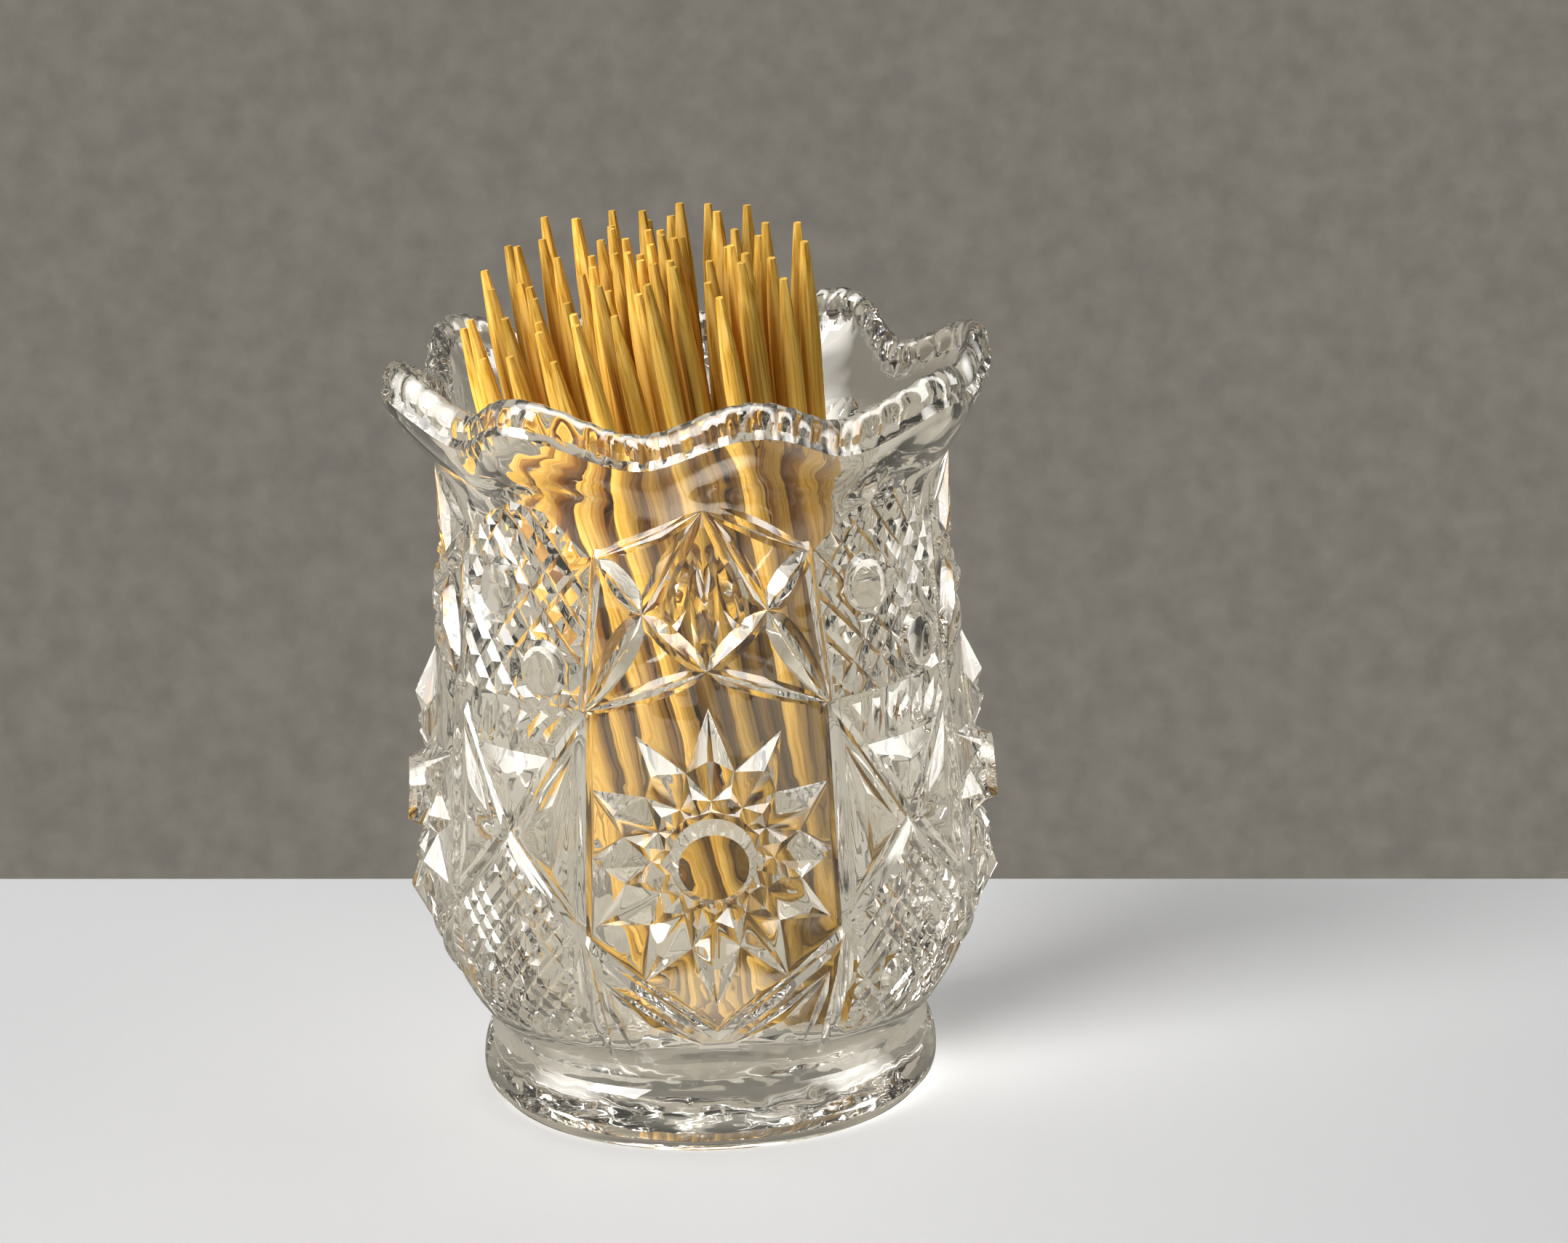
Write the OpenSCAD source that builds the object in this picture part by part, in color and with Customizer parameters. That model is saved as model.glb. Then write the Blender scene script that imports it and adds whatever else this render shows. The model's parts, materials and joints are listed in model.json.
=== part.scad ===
// Toothpick holder: a pressed glass cup with a scalloped rim and a cut glass
// pattern, filled with loose wooden toothpicks that each lift out along their
// own length. Millimetres, Z up, origin at the middle of the base.

/* [Glass outline] */
// Largest radius of the ring foot
foot_r = 20.0; // [17:0.1:23]
// Height of the ring foot, up to the waist
foot_h = 6.2; // [5:0.1:8]
// Radius of the waist between foot and body
waist_r = 18.3; // [16:0.1:20]
// Largest radius of the body, at the bottoms of the cuts
belly_r = 24.3; // [22:0.1:27]
// Height of the largest body radius
belly_z = 18.5; // [15:0.5:22]
// Radius of the neck
neck_r = 21.1; // [19:0.1:23]
// Height of the neck
neck_z = 53; // [50:0.5:56]
// How far the rim's outer edge stands out past the neck, in the mean
rim_flare = 3.95; // [2.5:0.05:5]
// How far the rim's outer edge stands over the neck, in the mean
rim_h = 9.1; // [8:0.1:11]
// Height of the rim's rounded top over its outer edge
rim_round_h = 2.8; // [1.5:0.1:4]
// Thickness of the rim
rim_wall = 2.8; // [2:0.1:4]

/* [Scallops] */
// Number of scallops round the rim
scallops = 8; // [6:1:10]
// How far the scallops swing in and out
scallop_r = 1.45; // [0.5:0.05:2]
// How far the scallops swing up and down
scallop_h = 1.5; // [0.5:0.1:2.5]
// Turn of the first scallop from the front
scallop_turn = 9.6; // [0:0.1:45]

/* [Cavity and base] */
// Radius of the cavity at the neck
cavity_r = 17.6; // [16:0.1:18.5]
// Radius of the cavity floor, with its rounded corner
floor_r = 15.8; // [13:0.1:17]
// Height of the cavity floor
floor_z = 10; // [8:0.5:12]
// Radius of the corner between floor and wall
floor_round = 2.4; // [1:0.1:4]
// Outer radius of the flat resting ring
rest_outer_r = 18.7; // [17:0.1:19]
// Inner radius of the flat resting ring
rest_inner_r = 15.2; // [12:0.1:16.5]
// Depth of the hollow inside the resting ring
rest_hollow = 0.9; // [0.3:0.1:1.5]

/* [Star panels] */
// Height of the star's centre
star_z = 27.6; // [26:0.1:29]
// Reach of the star's top and bottom points
star_reach = 12.8; // [11:0.1:13.5]
// Reach of the ring of crossings between the star's points
star_cross_r = 7.2; // [6:0.1:8]
// Reach of the peaks of the star's points
star_peak_r = 8.2; // [7.5:0.1:9]
// Reach of the inner ends of the star's points
star_inner_r = 5.1; // [4.5:0.1:6]
// Rise of the star's points
star_rise = 0.95; // [0.5:0.05:1.3]
// Radius of the star's button at its foot
button_r = 3.65; // [3:0.05:4.2]
// Radius of the button's flat face
button_face_r = 2.55; // [1.8:0.05:2.8]
// Rise of the button's face
button_rise = 1.7; // [0.8:0.05:2]
// Half of a star panel's width, as an angle
panel_angle = 26.7; // [24:0.1:29]
// Height of a star panel's upper corners
panel_top_z = 39.5; // [38:0.1:41]
// Height of a star panel's lower corners
panel_low_z = 20.7; // [19:0.1:22]
// Height of a star panel's pointed bottom
panel_point_z = 11.8; // [10.5:0.1:13]
// Width of the mitre cuts round the panels
mitre_w = 1.3; // [0.6:0.1:2]
// Depth of the mitre cuts
mitre_d = 0.55; // [0.3:0.05:0.9]

/* [Shoulder] */
// Angle from a star's middle to the crossing of its shoulder ribs
rib_cross_angle = 13.7; // [11:0.1:16]
// Height of that crossing
rib_cross_z = 48.1; // [46:0.1:50]
// Height of the rib crossing over the star
rib_low_z = 43.4; // [42:0.1:45]
// Height of the gable top over the star
gable_z = 56.6; // [55:0.1:57.5]
// Angle from a star's middle to the gable's foot
gable_angle = 24; // [21:0.5:26]
// Height of the gable's foot
gable_foot_z = 52.3; // [51:0.1:54]
// Width of the shoulder ribs
rib_w = 1.3; // [0.8:0.1:2]
// Rise of the shoulder ribs at their crossings
rib_rise = 0.9; // [0.4:0.05:1.2]

/* [Diamond panels] */
// Half width of a shoulder diamond
diamond_w = 1.6; // [1.4:0.02:1.9]
// Half height of a shoulder diamond
diamond_h = 1.64; // [1.4:0.02:1.9]
// Rise of a shoulder diamond
diamond_rise = 0.6; // [0.3:0.05:0.9]
// Radius of a bull's eye at its foot
eye_r = 2.1; // [1.6:0.1:2.6]
// Radius of a bull's eye's flat face
eye_face_r = 1.3; // [0.8:0.1:1.5]
// Rise of a bull's eye
eye_rise = 0.8; // [0.4:0.05:1.1]
// Height where the two mitre cuts of a diamond panel cross
cross_z = 28.6; // [27:0.1:30]

/* [Toothpicks] */
// Length of a toothpick
pick_len = 65.9; // [60:0.1:70]
// Diameter of a toothpick
pick_d = 1.7; // [1.5:0.05:1.9]
// Diameter of a toothpick's blunt tip
tip_d = 0.7; // [0.4:0.05:1]
// Length of a toothpick's taper
taper_len = 8; // [5:0.5:10]
// Distance between toothpicks at their feet
foot_pitch = 2.05; // [2:0.01:2.15]
// Gap under a toothpick's lower tip
seat_gap = 0.15; // [0.1:0.01:0.2]
// Sideways place of the bundle's foot
bundle_foot_x = 3.6; // [3:0.1:4]
// Backward place of the bundle's foot
bundle_foot_y = 0.4; // [0:0.1:0.9]
// Sideways place of the bundle's top
bundle_top_x = -5.2; // [-6:0.1:-4]
// Backward place of the bundle's top
bundle_top_y = -3.4; // [-4:0.1:-2]
// Spread of the bundle's top over its foot
fan_share = 1.65; // [1.6:0.01:1.7]
// Turn of the bundle's top over its foot
bundle_twist = -25; // [-26:0.5:-18]
// Most that a tip strays from the even fan
stray = 0.4; // [0:0.05:0.42]
// Most that a toothpick's length differs
length_stray = 1.2; // [0:0.1:1.5]
// How much shorter the toothpicks at the front left are
front_short = 7; // [0:0.5:8]

/* [Hidden] */
picks = 58;
rows = 6;
rim_r = neck_r + rim_flare;
rim_z = neck_z + rim_h;
// Angle from a star's middle to the middle of a diamond panel
diamond_angle = 45;
// Columns of the blank, and its rings up the body, the flare, the rim's round
// top and the corner of the floor
segments = 48;
body_rings = 8;
flare_rings = 5;
round_rings = 4;
corner_rings = 2;
// Turns of the foot's rings round its middle height, and that height's share
foot_turns = [-30, 10, 50];
foot_share = 0.4;
// Reach of the bundle and of its middle, in steps of the honeycomb
bundle_reach_share = 4.56;
middle_reach_share = 2.01;
// How much longer the bundle's foot is sideways
bundle_stretch_share = 1.03;
// How far a raised cell reaches down into the glass
root = 0.4;
// How far a cut starts outside the glass
overrun = 0.8;
// Reach of the star's points from top to side, in steps of a twelfth turn
point_shares = [1, 0.95, 0.9, 0.8];
// Rise of the star's inner diamonds, of the points' rise
inner_rise_share = 0.65;
// Corners of each ring of the star, on its points and between them in turn
star_corners = 24;
star_step_angle = 360 / star_corners;
// Rise of the shoulder ribs at their outer ends, and at the low crossing
rib_end_rise = 0.2;
rib_low_rise = 0.4;
// Stretches in which a long cut follows the curve of the body
cut_steps = 2;
// Angle between the diamonds' outermost corners and the panel's sides, and how
// far the field's top falls for each degree from its middle
margin_angle = 1.2;
field_fall = 0.2;
// Distance that the diamonds keep from a bull's eye
eye_margin = 0.24;
// Powers that shape the body between belly and neck, its rings and the flare
belly_power_share = 1.15;
ring_power_share = 1.25;
flare_power_share = 1.3;
// Angles of the bull's eyes from a panel's middle, and heights of the neck's
eye_angles = [-6.3, 8.2];
eye_height_shares = [0.9245, 0.8094];
eye_sides = 10;
// Corners round a toothpick
pick_sides = 24;
// Way in which the toothpicks grow shorter, towards the front left
front_way_shares = [-0.7, -0.72];

pick_names = [for (i = [0:picks - 1]) str("toothpick_", i < 9 ? "0" : "", i + 1)];

// Outer radius of the glass over height, without the raised pattern and the
// scallops
function body_r(z) =
    z < belly_z
    ? waist_r + (belly_r - waist_r) * sin(90 * max(0, z - foot_h) / (belly_z - foot_h))
    : z < neck_z
    ? neck_r + (belly_r - neck_r)
        * pow(cos(90 * (z - belly_z) / (neck_z - belly_z)), belly_power_share)
    : neck_r + (rim_r - neck_r) * flare((z - neck_z) / (rim_z - neck_z));

// Swing of the scalloped rim at an angle from the front, from -1 to 1
function wave(a) = cos(scallops * (a - scallop_turn));

// Share of the flare at a share of its height
function flare(u) = (1 - cos(180 * pow(u, flare_power_share))) / 2;

// Radius and height on the flare, with a wall taken off the radius
function flare_at(u, a, wall, start_r) =
    let (r = rim_r + scallop_r * wave(a) - wall, z = rim_z + scallop_h * wave(a))
    [start_r + (r - start_r) * flare(u), neck_z + (z - neck_z) * u];

// Radius and height on the rounded top of the rim, from outside to inside
function rim_at(u, a) =
    let (r = rim_r + scallop_r * wave(a) - rim_wall / 2,
         z = rim_z + scallop_h * wave(a))
    [r + rim_wall / 2 * cos(180 * u), z + rim_round_h * sin(180 * u)];

// All rings of the glass blank at an angle, from the hollow underneath,
// up the outside, over the rim and down the inside to the floor
function section(a) = concat(
    [[rest_inner_r - rest_hollow, rest_hollow], [rest_inner_r, 0], [rest_outer_r, 0]],
    [for (t = foot_turns)
        [waist_r + (foot_r - waist_r) * cos(t),
         foot_h * (foot_share + (t < 0 ? foot_share : 1 - foot_share) * sin(t))]],
    [for (k = [0:body_rings - 1])
        let (z = foot_h + (neck_z - foot_h) * pow(k / body_rings, ring_power_share))
        [body_r(z), z]],
    [for (k = [0:flare_rings - 1]) flare_at(k / flare_rings, a, 0, neck_r)],
    [for (k = [0:round_rings]) rim_at(k / round_rings, a)],
    [for (k = [flare_rings - 1:-1:1])
        flare_at(k / flare_rings, a, rim_wall, cavity_r)],
    [[cavity_r, neck_z]],
    [for (k = [0:corner_rings])
        let (t = 90 * k / corner_rings)
        [floor_r - floor_round * (1 - cos(t)),
         floor_z + floor_round * (1 - sin(t))]]);

// A point at an angle from the front, on a radius and at a height
function at(a, r, z) = [r * sin(a), -r * cos(a), z];

// A point of a panel: an angle, a height and a rise over the body
function on_body(a, z, rise) = at(a, body_r(z) + rise, z);

// The same from a sideways distance along the body
function on_panel(p, rise) =
    on_body(p[0] / body_r(p[1]) * 180 / PI, p[1], rise);

// The plain glass form: rings joined all the way, closed under and inside
module blank() {
    rings = [for (i = [0:segments - 1]) section(360 * i / segments)];
    n = len(rings[0]);
    points = concat(
        [for (i = [0:segments - 1]) for (k = [0:n - 1])
            at(360 * i / segments, rings[i][k][0], rings[i][k][1])],
        [[0, 0, rest_hollow], [0, 0, floor_z]]);
    under = segments * n;
    inside = under + 1;
    faces = concat(
        [for (i = [0:segments - 1]) for (k = [0:n - 2])
            let (j = (i + 1) % segments)
            [i * n + k, i * n + k + 1, j * n + k + 1]],
        [for (i = [0:segments - 1]) for (k = [0:n - 2])
            let (j = (i + 1) % segments)
            [i * n + k, j * n + k + 1, j * n + k]],
        [for (i = [0:segments - 1])
            let (j = (i + 1) % segments) [under, i * n, j * n]],
        [for (i = [0:segments - 1])
            let (j = (i + 1) % segments)
            [inside, j * n + n - 1, i * n + n - 1]]);
    polyhedron(points = points, faces = faces, convexity = 8);
}

// The convex solid over a few points
module solid_of(points) {
    hull() polyhedron(points = points, faces = [[for (i = [0:len(points) - 1]) i]]);
}

// A round button with a flat face
module round_cell(centre, r, face_r, rise, sides) {
    ring = [for (i = [0:sides - 1]) [cos(360 * i / sides), sin(360 * i / sides)]];
    run_on = (r - face_r) * root / rise;
    solid_of(concat(
        [for (c = ring) on_panel(centre + (r + run_on) * c, -root)],
        [for (c = ring) on_panel(centre + face_r * c, rise)]));
}

// A mitre cut or a rib between two places of [angle, height]
module line_run(a, b, rise_a, rise_b, w, edge, steps) {
    run = [b[0] - a[0], b[1] - a[1]];
    across = [run[0] * body_r(a[1]) * PI / 180, run[1]];
    unit = across / norm(across);
    for (s = [0:steps - 1]) solid_of([for (u = [s / steps, (s + 1) / steps])
        let (p = a + run * u,
             side = [unit[1] * 180 / PI / body_r(p[1]), -unit[0]] * w / 2,
             rise = rise_a + (rise_b - rise_a) * u)
        each [on_body(p[0] + side[0], p[1] + side[1], edge),
              on_body(p[0] - side[0], p[1] - side[1], edge),
              on_body(p[0], p[1], rise)]]);
}

// Twelve points, a ring of small diamonds and a button, as one solid
module star() {
    function on_point(k) = k % 2 == 0;
    function reach(k) = star_reach * point_shares[min(k / 2 % 6, 6 - k / 2 % 6)];
    function corner(r, k, rise) =
        on_panel([r * sin(star_step_angle * k), star_z + r * cos(star_step_angle * k)], rise);
    turns = [for (k = [0:star_corners - 1]) k];
    points = concat(
        [on_panel([0, star_z], button_rise), on_panel([0, star_z], -root)],
        [for (k = turns) corner(button_face_r, k, button_rise)],
        [for (k = turns) corner(button_r, k, 0)],
        [for (k = turns)
            corner(star_inner_r, k, on_point(k) ? 0 : star_rise * inner_rise_share)],
        [for (k = turns) on_point(k) ? corner(star_peak_r, k, star_rise)
            : corner(star_cross_r, k, 0)],
        [for (k = turns) corner(on_point(k) ? reach(k) : star_cross_r, k, -root)],
        [for (k = turns) if (on_point(k)) corner(reach(k), k, 0)]);
    function ring(n, k) = 2 + star_corners * n + (k + star_corners) % star_corners;
    function tip(k) = ring(5, 0) + (k + star_corners) % star_corners / 2;
    faces = [for (k = turns) each concat(
        [[0, ring(0, k), ring(0, k + 1)],
         [ring(0, k), ring(1, k), ring(0, k + 1)],
         [ring(0, k + 1), ring(1, k), ring(1, k + 1)],
         [1, ring(4, k + 1), ring(4, k)]],
        on_point(k) ? [
            for (s = [-1, 1]) each [for (f = [
                [ring(1, k), ring(2, k), ring(1, k + s)],
                [ring(1, k + s), ring(2, k), ring(2, k + s)],
                [ring(2, k), ring(3, k), ring(3, k + s)],
                [ring(2, k), ring(3, k + s), ring(2, k + s)],
                [ring(3, k), tip(k), ring(3, k + s)],
                [tip(k), ring(4, k), ring(3, k + s)],
                [ring(4, k), ring(4, k + s), ring(3, k + s)]])
                s > 0 ? f : [f[0], f[2], f[1]]]] : [])];
    polyhedron(points = points, faces = faces, convexity = 8);
}

// The ribs that cross on the shoulder over a star
module shoulder_ribs() {
    for (s = [-1, 1]) {
        corner = [s * panel_angle, panel_top_z];
        crossing = [s * rib_cross_angle, rib_cross_z];
        foot = [s * gable_angle, gable_foot_z];
        top = [0, gable_z];
        low = [0, rib_low_z];
        line_run(corner, crossing, rib_end_rise, rib_rise, rib_w, -root, 1);
        line_run(crossing, top, rib_rise, rib_end_rise, rib_w, -root, 1);
        line_run(low, crossing, rib_low_rise, rib_rise, rib_w, -root, 1);
        line_run(crossing, foot, rib_rise, rib_low_rise, rib_w, -root, 1);
        line_run(foot, corner, rib_low_rise, rib_end_rise, rib_w, -root, 1);
        line_run(low, corner, rib_low_rise, rib_end_rise, rib_w, -root, 1);
    }
}

// A field of raised diamonds, as one solid on a grid of half diamonds whose
// corners are peaks and grooves in turn, over the squares that lie in a region
module diamonds(low_z, high_z, w, h, rise) {
    across = ceil((diamond_angle - gable_angle) * PI / 180 * neck_r / w);
    up = floor((high_z - low_z) / h);
    function spot(i, j) = [(i - across) * w, low_z + j * h];
    function peak(i, j) = abs(i - across + j) % 2 == 1;
    function keep(i, j) = in_shoulder(spot(i + 0.5, j + 0.5));
    kept = [for (i = [0:2 * across - 1]) [for (j = [0:up - 1]) keep(i, j)]];
    function has(i, j) = i >= 0 && j >= 0 && i < 2 * across && j < up && kept[i][j];
    function top(i, j) = 2 * (i * (up + 1) + j);
    function low(i, j) = top(i, j) + 1;
    points = [for (i = [0:2 * across]) for (j = [0:up])
        each [on_panel(spot(i, j), peak(i, j) ? rise : 0),
              on_panel(spot(i, j), -root)]];
    faces = [for (i = [0:2 * across - 1]) for (j = [0:up - 1]) if (kept[i][j])
        each concat(
            peak(i, j)
            ? [[top(i, j), top(i, j + 1), top(i + 1, j)],
               [top(i, j + 1), top(i + 1, j + 1), top(i + 1, j)]]
            : [[top(i, j), top(i, j + 1), top(i + 1, j + 1)],
               [top(i, j), top(i + 1, j + 1), top(i + 1, j)]],
            [[low(i, j), low(i + 1, j + 1), low(i, j + 1)],
             [low(i, j), low(i + 1, j), low(i + 1, j + 1)]],
            has(i - 1, j) ? [] : side(i, j, i, j + 1),
            has(i + 1, j) ? [] : side(i + 1, j + 1, i + 1, j),
            has(i, j - 1) ? [] : side(i + 1, j, i, j),
            has(i, j + 1) ? [] : side(i, j + 1, i + 1, j + 1))];
    function side(i, j, m, n) = [[top(i, j), low(i, j), top(m, n)],
                                 [low(i, j), low(m, n), top(m, n)]];
    polyhedron(points = points, faces = faces, convexity = 8);
}

// The outline of a diamond panel's shoulder part, less its bull's eyes
function in_shoulder(c) =
    let (a = abs(c[0]) / body_r(c[1]) * 180 / PI,
         side = diamond_angle - (c[1] > gable_foot_z ? gable_angle
             : panel_angle - (panel_angle - gable_angle)
                 * (c[1] - panel_top_z) / (gable_foot_z - panel_top_z)))
    a < side - margin_angle && c[1] < gable_z - diamond_h / 2 - a * field_fall
    && len([for (e = eyes()) if (norm(c - e) < eye_r + eye_margin) 1]) == 0;

// Places of the bull's eyes on a diamond panel
function eyes() = [for (i = [0:len(eye_angles) - 1])
    let (z = eye_height_shares[i] * neck_z) [eye_angles[i] * PI / 180 * body_r(z), z]];

// The raised pattern between two stars
module diamond_panel() {
    diamonds(panel_top_z + diamond_h, gable_z, diamond_w, diamond_h, diamond_rise);
    for (e = eyes()) round_cell(e, eye_r, eye_face_r, eye_rise, eye_sides);
}

// The mitre cuts round a star and across a diamond panel
module cuts() {
    for (s = [-1, 1]) {
        corner = [s * panel_angle, panel_top_z];
        low = [s * panel_angle, panel_low_z];
        point = [0, panel_point_z];
        line_run(corner, low, -mitre_d, -mitre_d, mitre_w, overrun, 1);
        crossing = [diamond_angle, cross_z];
        side = diamond_angle + s * (diamond_angle - panel_angle);
        line_run(low, point, -mitre_d, -mitre_d, mitre_w, overrun, cut_steps);
        line_run([side, panel_top_z], crossing,
                 -mitre_d, -mitre_d, mitre_w, overrun, cut_steps);
        line_run(crossing, [side, panel_low_z],
                 -mitre_d, -mitre_d, mitre_w, overrun, cut_steps);
    }
}

// The pressed glass cup in one piece
module glass_holder() color("lightcyan", 0.5) {
    difference() {
        union() {
            blank();
            for (turn = [0:90:270]) rotate([0, 0, turn]) {
                star();
                shoulder_ribs();
                rotate([0, 0, diamond_angle]) diamond_panel();
            }
        }
        for (turn = [0:90:270]) rotate([0, 0, turn]) cuts();
    }
}

// A repeatable value from -1 to 1 for a toothpick and a direction
function drift(i, k) = sin(360 * ((i * 0.61803 + k * 0.37) % 1) + 97 * i * (k + 1));

// Places of the toothpicks' feet on a honeycomb, in the middle or round it
function sites(middle) = [for (j = [-rows:rows]) for (i = [-rows:rows])
    let (p = [i + (abs(j) % 2) / 2, j * sqrt(3) / 2],
         inside = norm([p[0] / bundle_stretch_share, p[1] * bundle_stretch_share]))
    if ((norm(p) < middle_reach_share) == middle && inside < bundle_reach_share)
    p * foot_pitch];

outer_sites = sites(false);
middle_sites = sites(true);
function foot_at(p) = [p[0] + bundle_foot_x, p[1] + bundle_foot_y, floor_z + seat_gap];

// Lean of the bundle's middle: how far its top is from its foot
middle_lean = [bundle_top_x - bundle_foot_x, bundle_top_y - bundle_foot_y, pick_len];

// Lean of a toothpick at a site of the bundle. The tops are the feet, spread out
// and turned round the bundle's middle.
function fanned(p, i) =
    let (c = fan_share * cos(bundle_twist) - 1, s = fan_share * sin(bundle_twist),
         x = p[0] * c - p[1] * s + middle_lean[0] + stray * drift(i, 0),
         y = p[0] * s + p[1] * c + middle_lean[1] + stray * drift(i, 1))
    [x, y, sqrt(pick_len * pick_len - x * x - y * y)];

// Length of a toothpick at a site, shorter towards the front left
function length_at(p, i) =
    let (front = max(0, p * front_way_shares / (bundle_reach_share * foot_pitch)))
    pick_len + length_stray * drift(i, 2) - front_short * pow(front, 1.5);

// A toothpick from its lower tip up along its lean
module stick(foot, lean, length) {
    translate(foot)
        rotate([0, acos(lean[2] / norm(lean)), atan2(lean[1], lean[0])])
            rotate_extrude($fn = pick_sides) polygon([
                [0, 0], [tip_d / 2, 0], [pick_d / 2, taper_len],
                [pick_d / 2, length - taper_len], [tip_d / 2, length],
                [0, length]]);
}

// One toothpick of the fan
module toothpick(i) color("burlywood")
    stick(foot_at(outer_sites[i]), fanned(outer_sites[i], i),
          length_at(outer_sites[i], i));

// The pinch of parallel toothpicks in the middle of the fan
module middle_toothpicks() color("burlywood")
    for (i = [0:len(middle_sites) - 1])
        stick(foot_at(middle_sites[i]), middle_lean, length_at(middle_sites[i], i));

glass_holder();
for (i = [0:picks - 1]) toothpick(i);
middle_toothpicks();
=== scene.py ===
"""A pressed glass toothpick holder with its wooden toothpicks, on a white table.

Lengths in the classes are millimetres, and meshes are made in metres. Angles
round the holder are degrees from the middle of the front star, to the right.
"""

import json
import logging
import math
import random
from collections.abc import Sequence
from dataclasses import dataclass, field
from enum import Enum
from typing import NamedTuple

import bmesh
import bpy
import numpy as np
from mathutils import Matrix, Vector
from mathutils.geometry import delaunay_2d_cdt


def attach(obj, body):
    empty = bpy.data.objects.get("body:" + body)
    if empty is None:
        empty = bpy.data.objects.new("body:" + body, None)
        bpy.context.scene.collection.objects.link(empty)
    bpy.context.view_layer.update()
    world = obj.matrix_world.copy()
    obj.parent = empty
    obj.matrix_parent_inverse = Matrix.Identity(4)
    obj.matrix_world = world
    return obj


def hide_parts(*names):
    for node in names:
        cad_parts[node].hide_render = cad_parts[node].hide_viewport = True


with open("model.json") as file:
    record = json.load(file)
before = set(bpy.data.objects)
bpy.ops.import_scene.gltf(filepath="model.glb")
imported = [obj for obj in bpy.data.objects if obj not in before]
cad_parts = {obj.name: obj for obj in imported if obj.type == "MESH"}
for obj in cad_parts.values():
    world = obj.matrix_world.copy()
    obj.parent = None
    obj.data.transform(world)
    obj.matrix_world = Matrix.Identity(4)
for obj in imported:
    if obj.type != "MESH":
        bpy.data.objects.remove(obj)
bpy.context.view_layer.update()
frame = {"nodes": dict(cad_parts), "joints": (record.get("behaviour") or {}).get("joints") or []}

LOG = logging.getLogger("toothpick_holder")
MM = 0.001
QUARTER = 90.0
PROTOTYPE_TAPER = 0.1
SMALL = 1e-6
TINY = 1e-9
INSIDE_ONLY = 1
NOISE_SPAN = (0.3, 0.7)

Point = tuple[float, float]
Crease = tuple[Point, Point]
Corner = tuple[float, float, float]
Faces = Sequence[tuple[int, int, int]]
Colour = tuple[float, float, float]

PEAK_FACES = ((0, 1, 3), (1, 2, 3), (2, 0, 3))
RIDGE_FACES = ((0, 1, 4), (0, 4, 3), (0, 3, 2), (1, 2, 4), (2, 3, 4))


def deselect_all() -> None:
    """Leave object mode's selection empty."""
    if bpy.context.mode != "OBJECT":
        bpy.ops.object.mode_set(mode="OBJECT")
    bpy.ops.object.select_all(action="DESELECT")


def add_smoothed(name: str, data: bpy.types.Mesh, angle: float) -> bpy.types.Object:
    """Add an object for a mesh, smooth but for edges sharper than an angle."""
    made = bpy.data.objects.new(name, data)
    bpy.context.collection.objects.link(made)
    deselect_all()
    made.select_set(True)
    bpy.context.view_layer.objects.active = made
    bpy.ops.object.shade_smooth_by_angle(angle=math.radians(angle))
    return made


def clamp(value: float, low: float = 0.0, high: float = 1.0) -> float:
    """Keep a value between two limits."""
    return max(low, min(high, value))


def between(a: Point, b: Point, share: float) -> Point:
    """The point at a share of the way from a to b."""
    return (a[0] + (b[0] - a[0]) * share, a[1] + (b[1] - a[1]) * share)


def distance(a: Point, b: Point) -> float:
    """The distance between two points of the flat layout."""
    return math.hypot(a[0] - b[0], a[1] - b[1])


def square_to(a: Point, b: Point) -> Point:
    """The unit step square to the way from a to b."""
    length = distance(a, b)
    return (-(b[1] - a[1]) / length, (b[0] - a[0]) / length)


def foot_share(p: Point, a: Point, b: Point) -> float:
    """How far along a to b the point nearest p lies, from 0 to 1."""
    run = (b[0] - a[0], b[1] - a[1])
    length = run[0] ** 2 + run[1] ** 2
    return clamp(((p[0] - a[0]) * run[0] + (p[1] - a[1]) * run[1]) / max(length, TINY))


def off_line(p: Point, a: Point, b: Point) -> float:
    """The distance of p from the line piece a to b."""
    return distance(p, between(a, b, foot_share(p, a, b)))


def inside(p: Point, outline: list[Point]) -> bool:
    """Whether p lies inside a closed outline."""
    found = False
    for a, b in zip(outline, outline[1:] + outline[:1]):
        if (a[1] > p[1]) != (b[1] > p[1]):
            if p[0] < a[0] + (p[1] - a[1]) * (b[0] - a[0]) / (b[1] - a[1]):
                found = not found
    return found


def to_edge(p: Point, outline: list[Point]) -> float:
    """The distance of p from the nearest side of a closed outline."""
    return min(off_line(p, a, b) for a, b in zip(outline, outline[1:] + outline[:1]))


def clip_to_outline(a: Point, b: Point, outline: list[Point]) -> list[Crease]:
    """The stretches of the line piece a to b that lie inside a closed outline."""
    shares = [0.0, 1.0]
    run = (b[0] - a[0], b[1] - a[1])
    for c, d in zip(outline, outline[1:] + outline[:1]):
        side = (d[0] - c[0], d[1] - c[1])
        cross = run[0] * side[1] - run[1] * side[0]
        if abs(cross) < TINY:
            continue
        off = (c[0] - a[0], c[1] - a[1])
        t = (off[0] * side[1] - off[1] * side[0]) / cross
        u = (off[0] * run[1] - off[1] * run[0]) / cross
        if 0 < t < 1 and -TINY <= u <= 1 + TINY:
            shares.append(t)
    shares.sort()
    return [
        (between(a, b, s), between(a, b, t))
        for s, t in zip(shares, shares[1:])
        if t - s > SMALL and inside(between(a, b, (s + t) / 2), outline)
    ]


class Layer(Enum):
    """How a motif's height joins the heights already there."""

    RAISED = "raised"
    CUT = "cut"
    ADDED = "added"


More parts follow.
